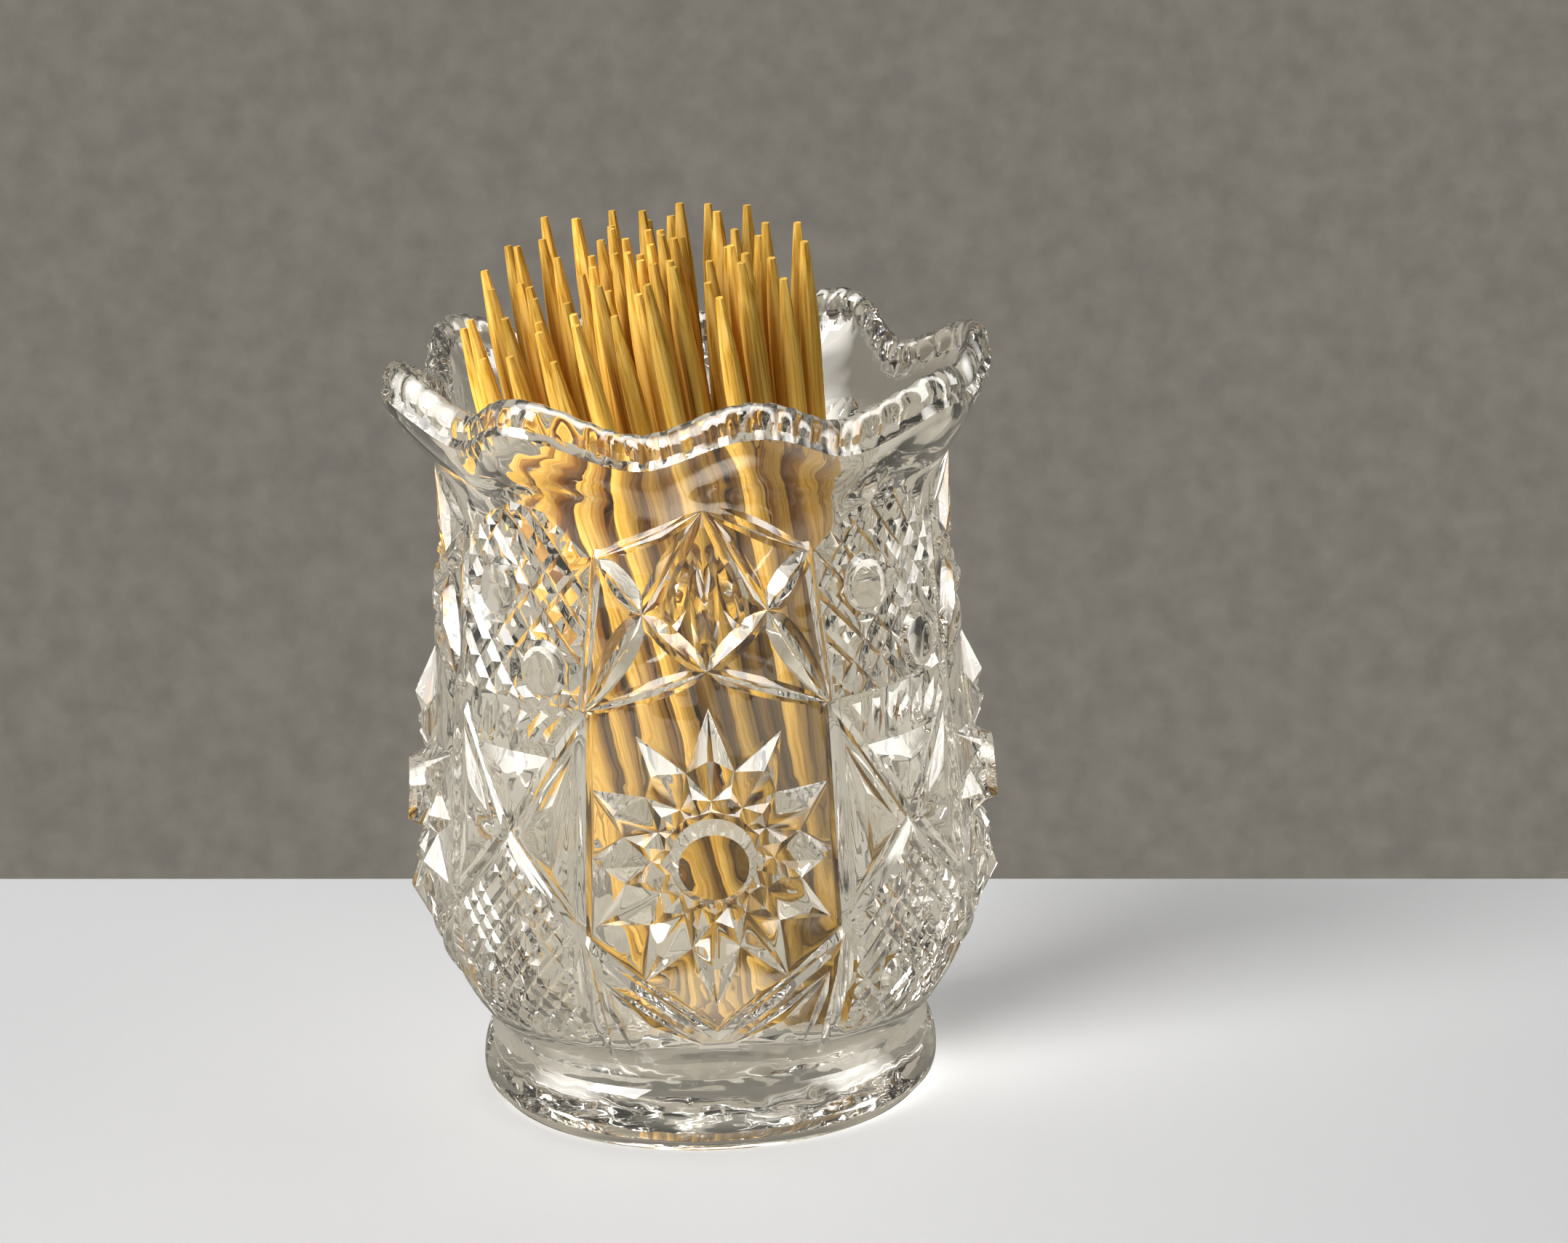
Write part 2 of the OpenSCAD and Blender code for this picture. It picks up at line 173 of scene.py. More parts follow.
@dataclass
class Roof:
    """A rib or a mitre cut with a straight crest between two points.

    Attributes:
        a, b: Ends of its crest.
        rise_a, rise_b: Heights of the crest there, below zero for a cut.
        half_a, half_b: Half of its width there.
    """

    a: Point
    b: Point
    rise_a: float
    rise_b: float
    half_a: float
    half_b: float

    @property
    def layer(self) -> Layer:
        """Cuts go below the surface, ribs above it."""
        return Layer.CUT if min(self.rise_a, self.rise_b) < 0 else Layer.RAISED

    def sides(self) -> list[Crease]:
        """The two lines where it meets the surface."""
        off = square_to(self.a, self.b)
        ends = ((self.a, self.half_a), (self.b, self.half_b))
        return [
            tuple((p[0] + s * off[0] * half, p[1] + s * off[1] * half) for p, half in ends)
            for s in (-1, 1)
        ]

    def creases(self) -> list[Crease]:
        """Crest and both sides."""
        return [(self.a, self.b), *self.sides()]

    def height(self, p: Point) -> float:
        """Height of the roof over a point."""
        share = foot_share(p, self.a, self.b)
        off = distance(p, between(self.a, self.b, share))
        half = self.half_a + (self.half_b - self.half_a) * share
        if off >= half:
            return 0.0
        return (self.rise_a + (self.rise_b - self.rise_a) * share) * (1 - off / half)


@dataclass
class Leaf:
    """A ridged leaf between two points, which is pointed at both ends.

    Attributes:
        a, b: Its ends.
        rise: Height of its crest where it is widest.
        half: Half of its width there.
        widest: Where that is, as a share of the way from a to b.
        steps: Pieces of each curved side.
        fullness: Power of the sides' curve, fuller the smaller it is.
    """

    a: Point
    b: Point
    rise: float
    half: float
    widest: float = 0.5
    steps: int = 8
    fullness: float = 0.45
    layer: Layer = Layer.RAISED

    def swell(self, share: float) -> float:
        """Its width at a share of its length, over its largest width."""
        turn = math.pi * clamp(share) ** (math.log(0.5) / math.log(self.widest))
        return max(0.0, math.sin(turn)) ** self.fullness

    def creases(self) -> list[Crease]:
        """Crest and both curved sides."""
        off = square_to(self.a, self.b)
        found = [(self.a, self.b)]
        for side in (-self.half, self.half):
            line = []
            for k in range(self.steps + 1):
                p = between(self.a, self.b, k / self.steps)
                out = side * self.swell(k / self.steps)
                line.append((p[0] + off[0] * out, p[1] + off[1] * out))
            found += zip(line, line[1:])
        return found

    def height(self, p: Point) -> float:
        """Height of the leaf over a point."""
        share = foot_share(p, self.a, self.b)
        swell = self.swell(share)
        off = distance(p, between(self.a, self.b, share))
        return max(0.0, self.rise * (swell - off / self.half))


@dataclass
class Facets:
    """Flat facets between corners that have heights.

    Attributes:
        corners: Place and height of each corner.
        faces: Corners of each triangle.
        layer: How its heights join the others.
    """

    corners: list[Corner]
    faces: Faces
    layer: Layer = Layer.RAISED

    def creases(self) -> list[Crease]:
        """Every side of every facet, once."""
        pairs = {tuple(sorted((f[i], f[i - 1]))) for f in self.faces for i in range(3)}
        return [(self.corners[i][:2], self.corners[j][:2]) for i, j in sorted(pairs)]

    def height(self, p: Point) -> float:
        """Height of the facet over a point, or zero beside them all."""
        for face in self.faces:
            a, b, c = (self.corners[i] for i in face)
            whole = (b[0] - a[0]) * (c[1] - a[1]) - (b[1] - a[1]) * (c[0] - a[0])
            if abs(whole) < TINY:
                continue
            v = ((p[0] - a[0]) * (c[1] - a[1]) - (p[1] - a[1]) * (c[0] - a[0])) / whole
            w = ((b[0] - a[0]) * (p[1] - a[1]) - (b[1] - a[1]) * (p[0] - a[0])) / whole
            if min(v, w) >= -SMALL and v + w <= 1 + SMALL:
                return a[2] + v * (b[2] - a[2]) + w * (c[2] - a[2])
        return 0.0


@dataclass
class Button:
    """A round button: a sloping ring round a flat or hollow face.

    Attributes:
        centre: Its middle.
        rings: Radius and height of each ring, from outside to inside.
        sides: Corners of a ring.
        stretch: Height over width.
        turn: Turn of the long way, in degrees.
    """

    centre: Point
    rings: list[tuple[float, float]]
    sides: int = 24
    stretch: float = 1.0
    turn: float = 0.0
    layer: Layer = Layer.RAISED

    def at(self, r: float, share: float) -> Point:
        """The point on a ring at a share of the way round."""
        a = math.tau * share
        u, v = r * math.cos(a), r * math.sin(a) * self.stretch
        c, s = math.cos(math.radians(self.turn)), math.sin(math.radians(self.turn))
        return (self.centre[0] + u * c - v * s, self.centre[1] + u * s + v * c)

    def radius(self, p: Point) -> float:
        """How far out a point lies, on the scale of the rings' radii."""
        x, y = p[0] - self.centre[0], p[1] - self.centre[1]
        c, s = math.cos(math.radians(self.turn)), math.sin(math.radians(self.turn))
        return math.hypot(x * c + y * s, (y * c - x * s) / self.stretch)

    def creases(self) -> list[Crease]:
        """The rings' sides."""
        n = self.sides
        return [
            (self.at(r, k / n), self.at(r, (k + 1) / n)) for r, _ in self.rings for k in range(n)
        ]

    def height(self, p: Point) -> float:
        """Height of the button over a point."""
        r = self.radius(p)
        if r >= self.rings[0][0]:
            return 0.0
        for (r1, h1), (r2, h2) in zip(self.rings, self.rings[1:]):
            if r2 <= r <= r1:
                return h2 + (h1 - h2) * (r - r2) / (r1 - r2)
        return self.rings[-1][1]


@dataclass
class Hatch:
    """A field of small pyramids between two families of crossing cuts.

    Attributes:
        outline: Where the field lies.
        origin: A peak's place.
        half_w, half_h: Half of a pyramid's width and height.
        rise: Height of a peak.
        top: Size of a pyramid's flattened top, as a share of its own.
        edge: Width over which the field fades in from its outline.
        holes: Buttons that the field stays clear of.
        crown: Slope left on the flattened tops, as a share of the sides'.
    """

    outline: list[Point]
    origin: Point
    half_w: float
    half_h: float
    rise: float
    top: float
    edge: float
    holes: list[Button] = field(default_factory=list)
    crown: float = 0.12
    layer: Layer = Layer.RAISED

    def creases(self) -> list[Crease]:
        """Cuts, hips and the field's outline."""
        found = list(zip(self.outline, self.outline[1:] + self.outline[:1]))
        xs, ys = [p[0] for p in self.outline], [p[1] for p in self.outline]
        u0 = math.floor((min(xs) - self.origin[0]) / self.half_w)
        u1 = math.ceil((max(xs) - self.origin[0]) / self.half_w)
        v0 = math.floor((min(ys) - self.origin[1]) / self.half_h)
        v1 = math.ceil((max(ys) - self.origin[1]) / self.half_h)
        lines = [((u, v0), (u, v1)) for u in range(u0, u1 + 1)]
        lines += [((u0, v), (u1, v)) for v in range(v0, v1 + 1)]
        for k in range(u0 + v0 - 1, u1 + v1 + 2):
            if k % 2:
                lines.append(((k - v0, v0), (k - v1, v1)))
        for k in range(u0 - v1 - 1, u1 - v0 + 2):
            if k % 2:
                lines.append(((k + v0, v0), (k + v1, v1)))
        for u in range(u0 - 1, u1 + 2):
            for v in range(v0 - (u + v0) % 2, v1 + 2, 2):
                top = [(u + self.top, v), (u, v + self.top), (u - self.top, v), (u, v - self.top)]
                lines += zip(top, top[1:] + top[:1])
        for line in lines:
            a, b = (
                (self.origin[0] + u * self.half_w, self.origin[1] + v * self.half_h) for u, v in line
            )
            found += clip_to_outline(a, b, self.outline)
        return [c for c in found if not self.in_hole(between(*c, 0.5))]

    def in_hole(self, p: Point) -> bool:
        """Whether a point lies under one of the field's buttons."""
        return any(h.radius(p) < h.rings[0][0] for h in self.holes)

    def height(self, p: Point) -> float:
        """Height of the pyramids over a point."""
        if not inside(p, self.outline) or self.in_hole(p):
            return 0.0
        u = (p[0] - self.origin[0]) / self.half_w
        v = (p[1] - self.origin[1]) / self.half_h
        along, across = (u + v) / 2, (u - v) / 2
        off = max(abs(along - round(along)), abs(across - round(across)))
        fade = clamp(to_edge(p, self.outline) / self.edge)
        for hole in self.holes:
            fade = min(fade, clamp((hole.radius(p) - hole.rings[0][0]) / self.edge))
        slope = (1 - 2 * off) / (1 - self.top)
        return self.rise * (min(1.0, slope) + self.crown * max(0.0, slope - 1)) * fade


@dataclass
class Profile:
    """The glass blank's sizes, in millimetres.

    Attributes:
        foot_*, waist_r, belly_*, neck_*: The outside up to the neck.
        rim_*, scallop*: The flare with its scallops, and the bead round it.
        cavity_r, floor_*: The inside.
        rest_*: The resting ring and the hollow in it.
        belly_power, flare_power: Fullness of the belly and of the flare.
        flutes, flute_*: Small flutes round the bead.
        lump_waves: Size, number and start of the waves that set the flutes
            unevenly round the rim.
        lump_slant: Size and number of waves that slant them.
        lump_sizes: Middle, swing, number and start of their uneven depth.
        pinch_width, bead_power: Shape of the bead's pinched sides and its top.
    """

    foot_r: float = 20.0
    foot_h: float = 6.2
    waist_r: float = 18.3
    belly_r: float = 24.3
    belly_z: float = 18.5
    neck_r: float = 21.1
    neck_z: float = 53.0
    rim_r: float = 25.04
    rim_z: float = 62.1
    rim_round_h: float = 2.8
    rim_wall: float = 2.8
    scallops: int = 8
    scallop_r: float = 1.45
    scallop_h: float = 1.5
    scallop_turn: float = 9.6
    cavity_r: float = 17.6
    floor_r: float = 15.8
    floor_z: float = 10.0
    floor_round: float = 2.4
    rest_outer_r: float = 18.7
    rest_inner_r: float = 15.2
    rest_hollow: float = 0.9
    belly_power: float = 1.15
    flare_power: float = 1.3
    flutes: int = 80
    flute_depth: float = 0.42
    flute_drop: float = 0.05
    flute_start: float = 5.0
    lump_waves: tuple[tuple[float, float, float], ...] = ((0.6, 7, 1.0), (0.8, 13, 0.0), (0.5, 29, 2.0))
    lump_slant: Point = (1.6, 5)
    lump_sizes: tuple[float, float, float, float] = (0.72, 0.28, 11, 0.5)
    rim_pinch: float = 0.2
    pinch_width: float = 0.34
    bead_power: float = 0.9

    def body_r(self, z: float) -> float:
        """Outer radius of the body at a height."""
        if z < self.belly_z:
            share = max(0.0, z - self.foot_h) / (self.belly_z - self.foot_h)
            return self.waist_r + (self.belly_r - self.waist_r) * math.sin(math.pi / 2 * share)
        share = min(1.0, (z - self.belly_z) / (self.neck_z - self.belly_z))
        swell = max(0.0, math.cos(math.pi / 2 * share)) ** self.belly_power
        return self.neck_r + (self.belly_r - self.neck_r) * swell

    def wave(self, angle: float) -> float:
        """Swing of the scallops at an angle, from -1 to 1."""
        return math.cos(math.radians(self.scallops * (angle - self.scallop_turn)))

    def flare_at(self, share: float, angle: float, wall: float, start_r: float) -> Point:
        """Radius and height on the flare."""
        r = self.rim_r + self.scallop_r * self.wave(angle) - wall
        z = self.rim_z + self.scallop_h * self.wave(angle)
        swing = (1 - math.cos(math.pi * share**self.flare_power)) / 2
        return (start_r + (r - start_r) * swing, self.neck_z + (z - self.neck_z) * share)

    def lump(self, share: float, angle: float) -> float:
        """Depth of the rim's uneven flutes at a place on its round, from 0 to 1."""
        turn = math.radians(angle - self.scallop_turn)
        uneven = sum(size * math.sin(count * turn + start) for size, count, start in self.lump_waves)
        uneven += self.lump_slant[0] * math.sin(math.tau * share + self.lump_slant[1] * turn)
        middle, swing, count, start = self.lump_sizes
        size = middle + swing * math.sin(count * turn + start)
        return size * (1 - math.cos(self.flutes * turn + uneven)) / 2

    def rim_at(self, share: float, angle: float) -> Point:
        """Radius and height on the rim's bead, from outside to inside."""
        wave, lump, turn = self.wave(angle), self.lump(share, angle), math.pi * share
        out, up = math.cos(turn), math.sin(turn)
        pinch = self.rim_pinch * math.exp(-((up / self.pinch_width) ** 2))
        half = self.rim_wall / 2
        r = self.rim_r + self.scallop_r * wave - half
        z = self.rim_z + self.scallop_h * wave
        sunk = self.flute_depth * lump * min(1.0, self.flute_start * up)
        return (
            r + half * out * (1 - pinch) - sunk * out,
            z + self.rim_round_h * up**self.bead_power * (1 - self.flute_drop * lump),
        )

    def outside(self, angle: float, y: float) -> Point:
        """Radius and height of the outer surface, over the height laid out flat."""
        if y <= self.neck_z:
            return (self.body_r(y), y)
        share = (y - self.neck_z) / (self.rim_z - self.neck_z)
        return self.flare_at(share, angle, 0.0, self.neck_r)


Motif = Roof | Leaf | Facets | Button | Hatch


class Oval(NamedTuple):
    """Place, half width, height over width and turn of an oval button."""

    aside: float
    z: float
    half_w: float
    stretch: float
    turn: float


@dataclass
class Pattern:
    """The cut pattern of a quarter of the holder, laid out flat.

    The flat layout has the angle as a length along x, at one reference radius,
    and the height along y. Its middle is a star, and its two sides are the
    middles of diamond panels. Rings of buttons are radii and heights, from
    outside to inside. Corners are angles, heights and rises.

    Attributes:
        star_*: The star: its reaches, longest first, half the width of its
            crests, and radius and height of each ring of its corners.
        button_rings: The button in the star's middle, a little hollow.
        panel_*, mitre_*: The star's panel, and the cuts that frame it.
        cross_z, tail: Where the cuts cross beside it, and their low ends.
        rib_*, gable_*: The crossing ribs over the star, and their sizes.
        side_rib: Rises and half widths of the one at the panel's side.
        fan_*: The drops between the ribs.
        eye_*, drop_*: Buttons high and low in a diamond panel.
        small_sides, drop_sides: Corners of the small buttons' rings.
        field_*, lower_*: Its larger and smaller diamonds: the right half of
            their outline, a peak's height, and half width, half height, rise,
            top and edge of a Hatch.
        band_*: The fluted band between them: half angle and height of its two
            sides, how far they sag, and the rises of its grooves and crests.
        shield, flank: The facets over and beside the crossing.
        toe: The scoops under the panel's point.
    """

    profile: Profile
    reference_r: float = 24.0
    star_z: float = 27.6
    star_points: int = 12
    star_reach: float = 12.8
    star_reach_shares: tuple[float, ...] = (1.0, 0.95, 0.9, 0.8)
    star_crest_half: float = 0.26
    star_peak: Point = (8.8, 1.45)
    star_crossing: Point = (7.7, 0.05)
    star_bead: Point = (5.7, 0.899)
    star_inner: Point = (5.1, 0.1)
    star_chip: Point = (4.35, 0.58)
    star_core: Point = (4.1, 0.12)
    button_rings: tuple[Point, ...] = ((3.65, 0.1), (2.75, 1.65), (2.6, 1.65), (1.612, 1.55), (0.3, 1.51))
    panel_half: float = 26.7
    panel_top_z: float = 39.5
    panel_low_z: float = 20.7
    panel_point_z: float = 11.8
    mitre_half: float = 0.75
    mitre_depth: float = 0.55
    cross_z: float = 28.6
    tail: Point = (25.8, 9.4)
    rib_cross_half: float = 13.7
    rib_cross_z: float = 48.1
    rib_low_z: float = 43.4
    rib_corner_up: float = 0.3
    rib_half: float = 1.6
    rib_rise: float = 1.45
    side_rib: tuple[float, float, float, float] = (0.4, 0.2, 0.55, 0.3)
    gable_z: float = 56.8
    gable_half: float = 24.0
    gable_foot_z: float = 52.6
    fan_ovals: tuple[Oval, ...] = (
        Oval(0.0, 48.9, 0.75, 4.2, 0.0),
        Oval(-2.5, 49.9, 0.7, 3.4, -16.0),
        Oval(2.5, 49.9, 0.7, 3.4, 16.0),
    )
    fan_rings: tuple[Point, ...] = ((1.75, 0.0), (1.25, -0.28))
    fan_crest: Point = (0.04, 0.62)
    eye_places: tuple[Point, ...] = ((-6.3, 49.0), (8.2, 42.9))
    eye_rings: tuple[Point, ...] = ((2.5, 0.0), (2.05, 0.5), (1.95, 0.52), (0.3, 0.52))
    drop_ovals: tuple[Oval, ...] = (Oval(5.2, 19.6, 0.95, 1.9, 35.0), Oval(-6.2, 15.0, 1.1, 1.5, 0.0))
    drop_rings: tuple[Point, ...] = ((1.0, 0.0), (0.6, 0.5), (0.3, 0.5))
    small_sides: int = 20
    drop_sides: int = 16
    field_outline: tuple[Point, ...] = ((17.1, 40.0), (19.4, 52.4), (9.0, 55.6), (0.0, 56.6))
    field_z: float = 42.78
    field_sizes: tuple[float, ...] = (1.6, 1.64, 0.4, 0.5, 0.45)
    lower_outline: tuple[Point, ...] = ((0.0, 27.0), (15.9, 20.7), (15.0, 10.4), (0.0, 9.8))
    lower_z: float = 27.0
    lower_sizes: tuple[float, ...] = (0.95, 1.05, 0.26, 0.5, 0.3)
    band_flutes: int = 6
    band_top: Point = (16.1, 39.2)
    band_low: Point = (13.7, 36.6)
    band_sags: Point = (0.2, -0.5)
    band_rises: Point = (-0.1, 0.28)
    shield: tuple[Corner, ...] = ((-12.7, 35.6, 0.0), (12.7, 35.6, 0.0), (0.0, 29.9, 0.0), (0.0, 33.4, 0.42))
    flank: tuple[Corner, ...] = (
        (16.0, 36.3, 0.0),
        (16.0, 23.1, 0.0),
        (3.6, 28.4, 0.0),
        (12.1, 31.8, 0.4),
        (12.1, 26.0, 0.4),
    )
    toe: tuple[Corner, ...] = ((23.2, 17.0, 0.0), (20.0, 9.6, 0.0), (3.2, 10.6, 0.0), (14.5, 12.4, -0.45))

    def x(self, angle: float) -> float:
        """The flat layout's x of an angle."""
        return math.radians(angle) * self.reference_r

    def at(self, angle: float, z: float) -> Point:
        """A point of the layout from an angle and a height."""
        return (self.x(angle), z)

    def across(self, arc: float, z: float) -> float:
        """The layout's x of a true length along the body at a height."""
        return arc * self.reference_r / self.profile.body_r(z)

    def facets(self, middle: float, side: int, corners: Sequence[Corner], faces: Faces) -> Facets:
        """Facets at a panel's middle. Their side is 1, or -1 to mirror them."""
        placed = [(self.x(middle + side * angle), z, rise) for angle, z, rise in corners]
        return Facets(placed, faces, Layer.ADDED)

    def star_reach_at(self, point: int) -> float:
        """Reach of one of the star's points, counted from the top."""
        half = self.star_points // 2
        off = point % half
        return self.star_reach * self.star_reach_shares[min(off, half - off)]

    def star(self) -> Facets:
        """The star's kites round a ring of small diamonds and a ring of chips.

        Returns:
            The star without its button.
        """
        corners: list[Corner] = []
        steps = 2 * self.star_points
        points, gaps = range(0, steps, 2), range(1, steps, 2)

        def corner(ring: Point, step: float) -> int:
            """Add a corner of a ring, at a step round the star."""
            turn = math.radians(360 / steps * step)
            z = self.star_z + ring[0] * math.cos(turn)
            corners.append((self.across(ring[0] * math.sin(turn), z), z, ring[1]))
            return len(corners) - 1

        flat = math.degrees(self.star_crest_half / self.star_peak[0]) / (360 / steps)
        sides = (-1, 1)
        tips = {k: corner((self.star_reach_at(k // 2), 0.0), k) for k in points}
        peaks = {(k, s): corner(self.star_peak, k + s * flat) for k in points for s in sides}
        crossings = {k: corner(self.star_crossing, k) for k in gaps}
        inner = {k: corner(self.star_inner, k) for k in points}
        beads = {k: corner(self.star_bead, k) for k in gaps}
        core = {k: corner(self.star_core, k) for k in gaps}
        chips = {k: corner(self.star_chip, k) for k in points}
        ring = {k: corner(self.button_rings[0], k) for k in range(steps)}
        faces = []
        for k in points:
            faces += [(tips[k], peaks[k, -1], peaks[k, 1]), (peaks[k, -1], inner[k], peaks[k, 1])]
            for s in sides:
                side = (k + s) % steps
                faces += [
                    (tips[k], peaks[k, s], crossings[side]),
                    (peaks[k, s], inner[k], crossings[side]),
                    (inner[k], chips[k], core[side]),
                    (chips[k], ring[k], ring[side]),
                    (chips[k], ring[side], core[side]),
                    (crossings[side], inner[k], beads[side]),
                    (inner[k], core[side], beads[side]),
                ]
        return Facets(corners, faces)

    def star_button(self) -> Button:
        """The button in the star's middle."""
        return Button((0.0, self.star_z), list(self.button_rings))

    def frame_cuts(self) -> list[Roof]:
        """The mitre cuts round the star and across the diamond panels."""
        found = []
        for s in (-1, 1):
            corner = self.at(s * self.panel_half, self.panel_top_z)
            low = self.at(s * self.panel_half, self.panel_low_z)
            crossing = self.at(s * QUARTER / 2, self.cross_z)
            far_low = self.at(s * (QUARTER - self.panel_half), self.panel_low_z)
            far_top = self.at(s * (QUARTER - self.panel_half), self.panel_top_z)
            tail = self.at(s * self.tail[0], self.tail[1])
            for a, b, share in (
                (corner, low, 1.0),
                (low, self.at(0, self.panel_point_z), 0.85),
                (corner, crossing, 0.7),
                (crossing, low, 0.6),
                (far_top, crossing, 0.7),
                (crossing, far_low, 0.6),
                (low, tail, 0.5),
            ):
                deep, half = -self.mitre_depth * share, self.mitre_half * share
                found.append(Roof(a, b, deep, deep, half, half))
        return found

    def shoulder_ribs(self) -> list[Leaf | Roof]:
        """The ribs that cross on the shoulder over the star."""
        found = []
        top, low = self.at(0, self.gable_z), self.at(0, self.rib_low_z)
        for s in (-1, 1):
            corner = self.at(s * self.panel_half, self.panel_top_z + self.rib_corner_up)
            crossing = self.at(s * self.rib_cross_half, self.rib_cross_z)
            foot = self.at(s * self.gable_half, self.gable_foot_z)
            ribs = [
                Leaf(a, b, self.rib_rise * rise_share, self.rib_half * half_share, widest)
                for a, b, rise_share, half_share, widest in (
                    (corner, crossing, 0.92, 0.9, 0.62),
                    (crossing, top, 0.7, 0.66, 0.4),
                    (low, crossing, 0.65, 0.62, 0.5),
                    (crossing, foot, 0.9, 0.85, 0.45),
                    (low, corner, 0.55, 0.52, 0.4),
                    (top, foot, 0.5, 0.5, 0.5),
                )
            ]
            found += [*ribs[:-1], Roof(foot, corner, *self.side_rib), ribs[-1]]
        return found

    def fan(self) -> list[Button]:
        """Three drops that spread from the gable's top."""
        found = []
        for oval in self.fan_ovals:
            rings = [(oval.half_w * share, rise) for share, rise in self.fan_rings] + [self.fan_crest]
            shape = (self.small_sides, oval.stretch, oval.turn)
            found.append(Button((oval.aside, oval.z), rings, *shape, Layer.ADDED))
        return found

    def eyes(self, middle: float) -> list[Button]:
        """The two bull's eyes of a diamond panel."""
        places = [self.at(middle + angle, z) for angle, z in self.eye_places]
        return [Button(place, list(self.eye_rings), self.small_sides) for place in places]

    def drops(self, middle: float) -> list[Button]:
        """The oval buttons low in a diamond panel."""
        found = []
        for oval in self.drop_ovals:
            rings = [(oval.half_w * share, rise) for share, rise in self.drop_rings]
            centre = self.at(middle + oval.aside, oval.z)
            found.append(Button(centre, rings, self.drop_sides, oval.stretch, oval.turn))
        return found

    def outline(self, middle: float, half: tuple[Point, ...]) -> list[Point]:
        """A closed outline from its right half, given as angles and heights.

        It starts on top, or low on the left where its low corners lie apart.
        """
        right, left = list(half), [(-angle, z) for angle, z in reversed(half) if angle]
        if right[0][0]:
            left, right = left[:-1], left[-1:] + right
        return [self.at(middle + angle, z) for angle, z in right + left]

    def shoulder_field(self, middle: float) -> Hatch:
        """The larger diamonds between the shoulder ribs."""
        outline = self.outline(middle, self.field_outline)
        return Hatch(outline, self.at(middle, self.field_z), *self.field_sizes, self.eyes(middle))

    def lower_field(self, middle: float) -> Hatch:
        """The smaller diamonds under the crossing."""
        outline = self.outline(middle, self.lower_outline)
        return Hatch(outline, self.at(middle, self.lower_z), *self.lower_sizes, self.drops(middle))

    def band(self, middle: float) -> Facets:
        """The fluted band under the shoulder diamonds."""
        corners, faces = [], []
        count = 2 * self.band_flutes
        (top_half, top), (low_half, low) = self.band_top, self.band_low
        for k in range(count + 1):
            share = 2 * k / count - 1
            swell = 1 - share**2
            rise = 0.0 if k in (0, count) else self.band_rises[k % 2]
            corners.append((top_half * share, top + self.band_sags[0] * swell, 0.0))
            corners.append((low_half * share, (top + low) / 2, rise))
            corners.append((low_half * share, low + self.band_sags[1] * swell, 0.0))
        for k in range(count):
            for row in (0, 1):
                a, b = 3 * k + row, 3 * (k + 1) + row
                faces += [(a, b, a + 1), (b, b + 1, a + 1)]
        return self.facets(middle, 1, corners, faces)

    def shields(self, middle: float) -> list[Facets]:
        """The flat facets between the crossing cuts of a diamond panel."""
        flanks = [self.facets(middle, s, self.flank, RIDGE_FACES) for s in (-1, 1)]
        return [self.facets(middle, 1, self.shield, PEAK_FACES), *flanks]

    def toes(self) -> list[Facets]:
        """The two bright scoops under a star panel's pointed bottom."""
        return [self.facets(0.0, s, self.toe, PEAK_FACES) for s in (-1, 1)]

    def motifs(self) -> list[Motif]:
        """All motifs of the quarter."""
        found = [self.star(), self.star_button(), *self.shoulder_ribs(), *self.fan(), *self.toes()]
        for middle in (-QUARTER / 2, QUARTER / 2):
            found += [
                self.shoulder_field(middle),
                *self.eyes(middle),
                self.lower_field(middle),
                *self.drops(middle),
                self.band(middle),
                *self.shields(middle),
            ]
        return found + self.frame_cuts()

    def height(self, motifs: list[Motif], p: Point) -> float:
        """Height of the whole pattern over a point of the layout.

        Args:
            motifs: All motifs of the quarter.
            p: The point.

        Returns:
            The rise over the plain blank, in millimetres.
        """
        base, raised, cut = 0.0, 0.0, 0.0
        for motif in motifs:
            value = motif.height(p)
            if motif.layer is Layer.ADDED:
                base += value
            elif motif.layer is Layer.RAISED:
                raised = max(raised, value)
            else:
                cut = min(cut, value)
        return cut if cut < 0 and raised <= 0 else base + raised + cut


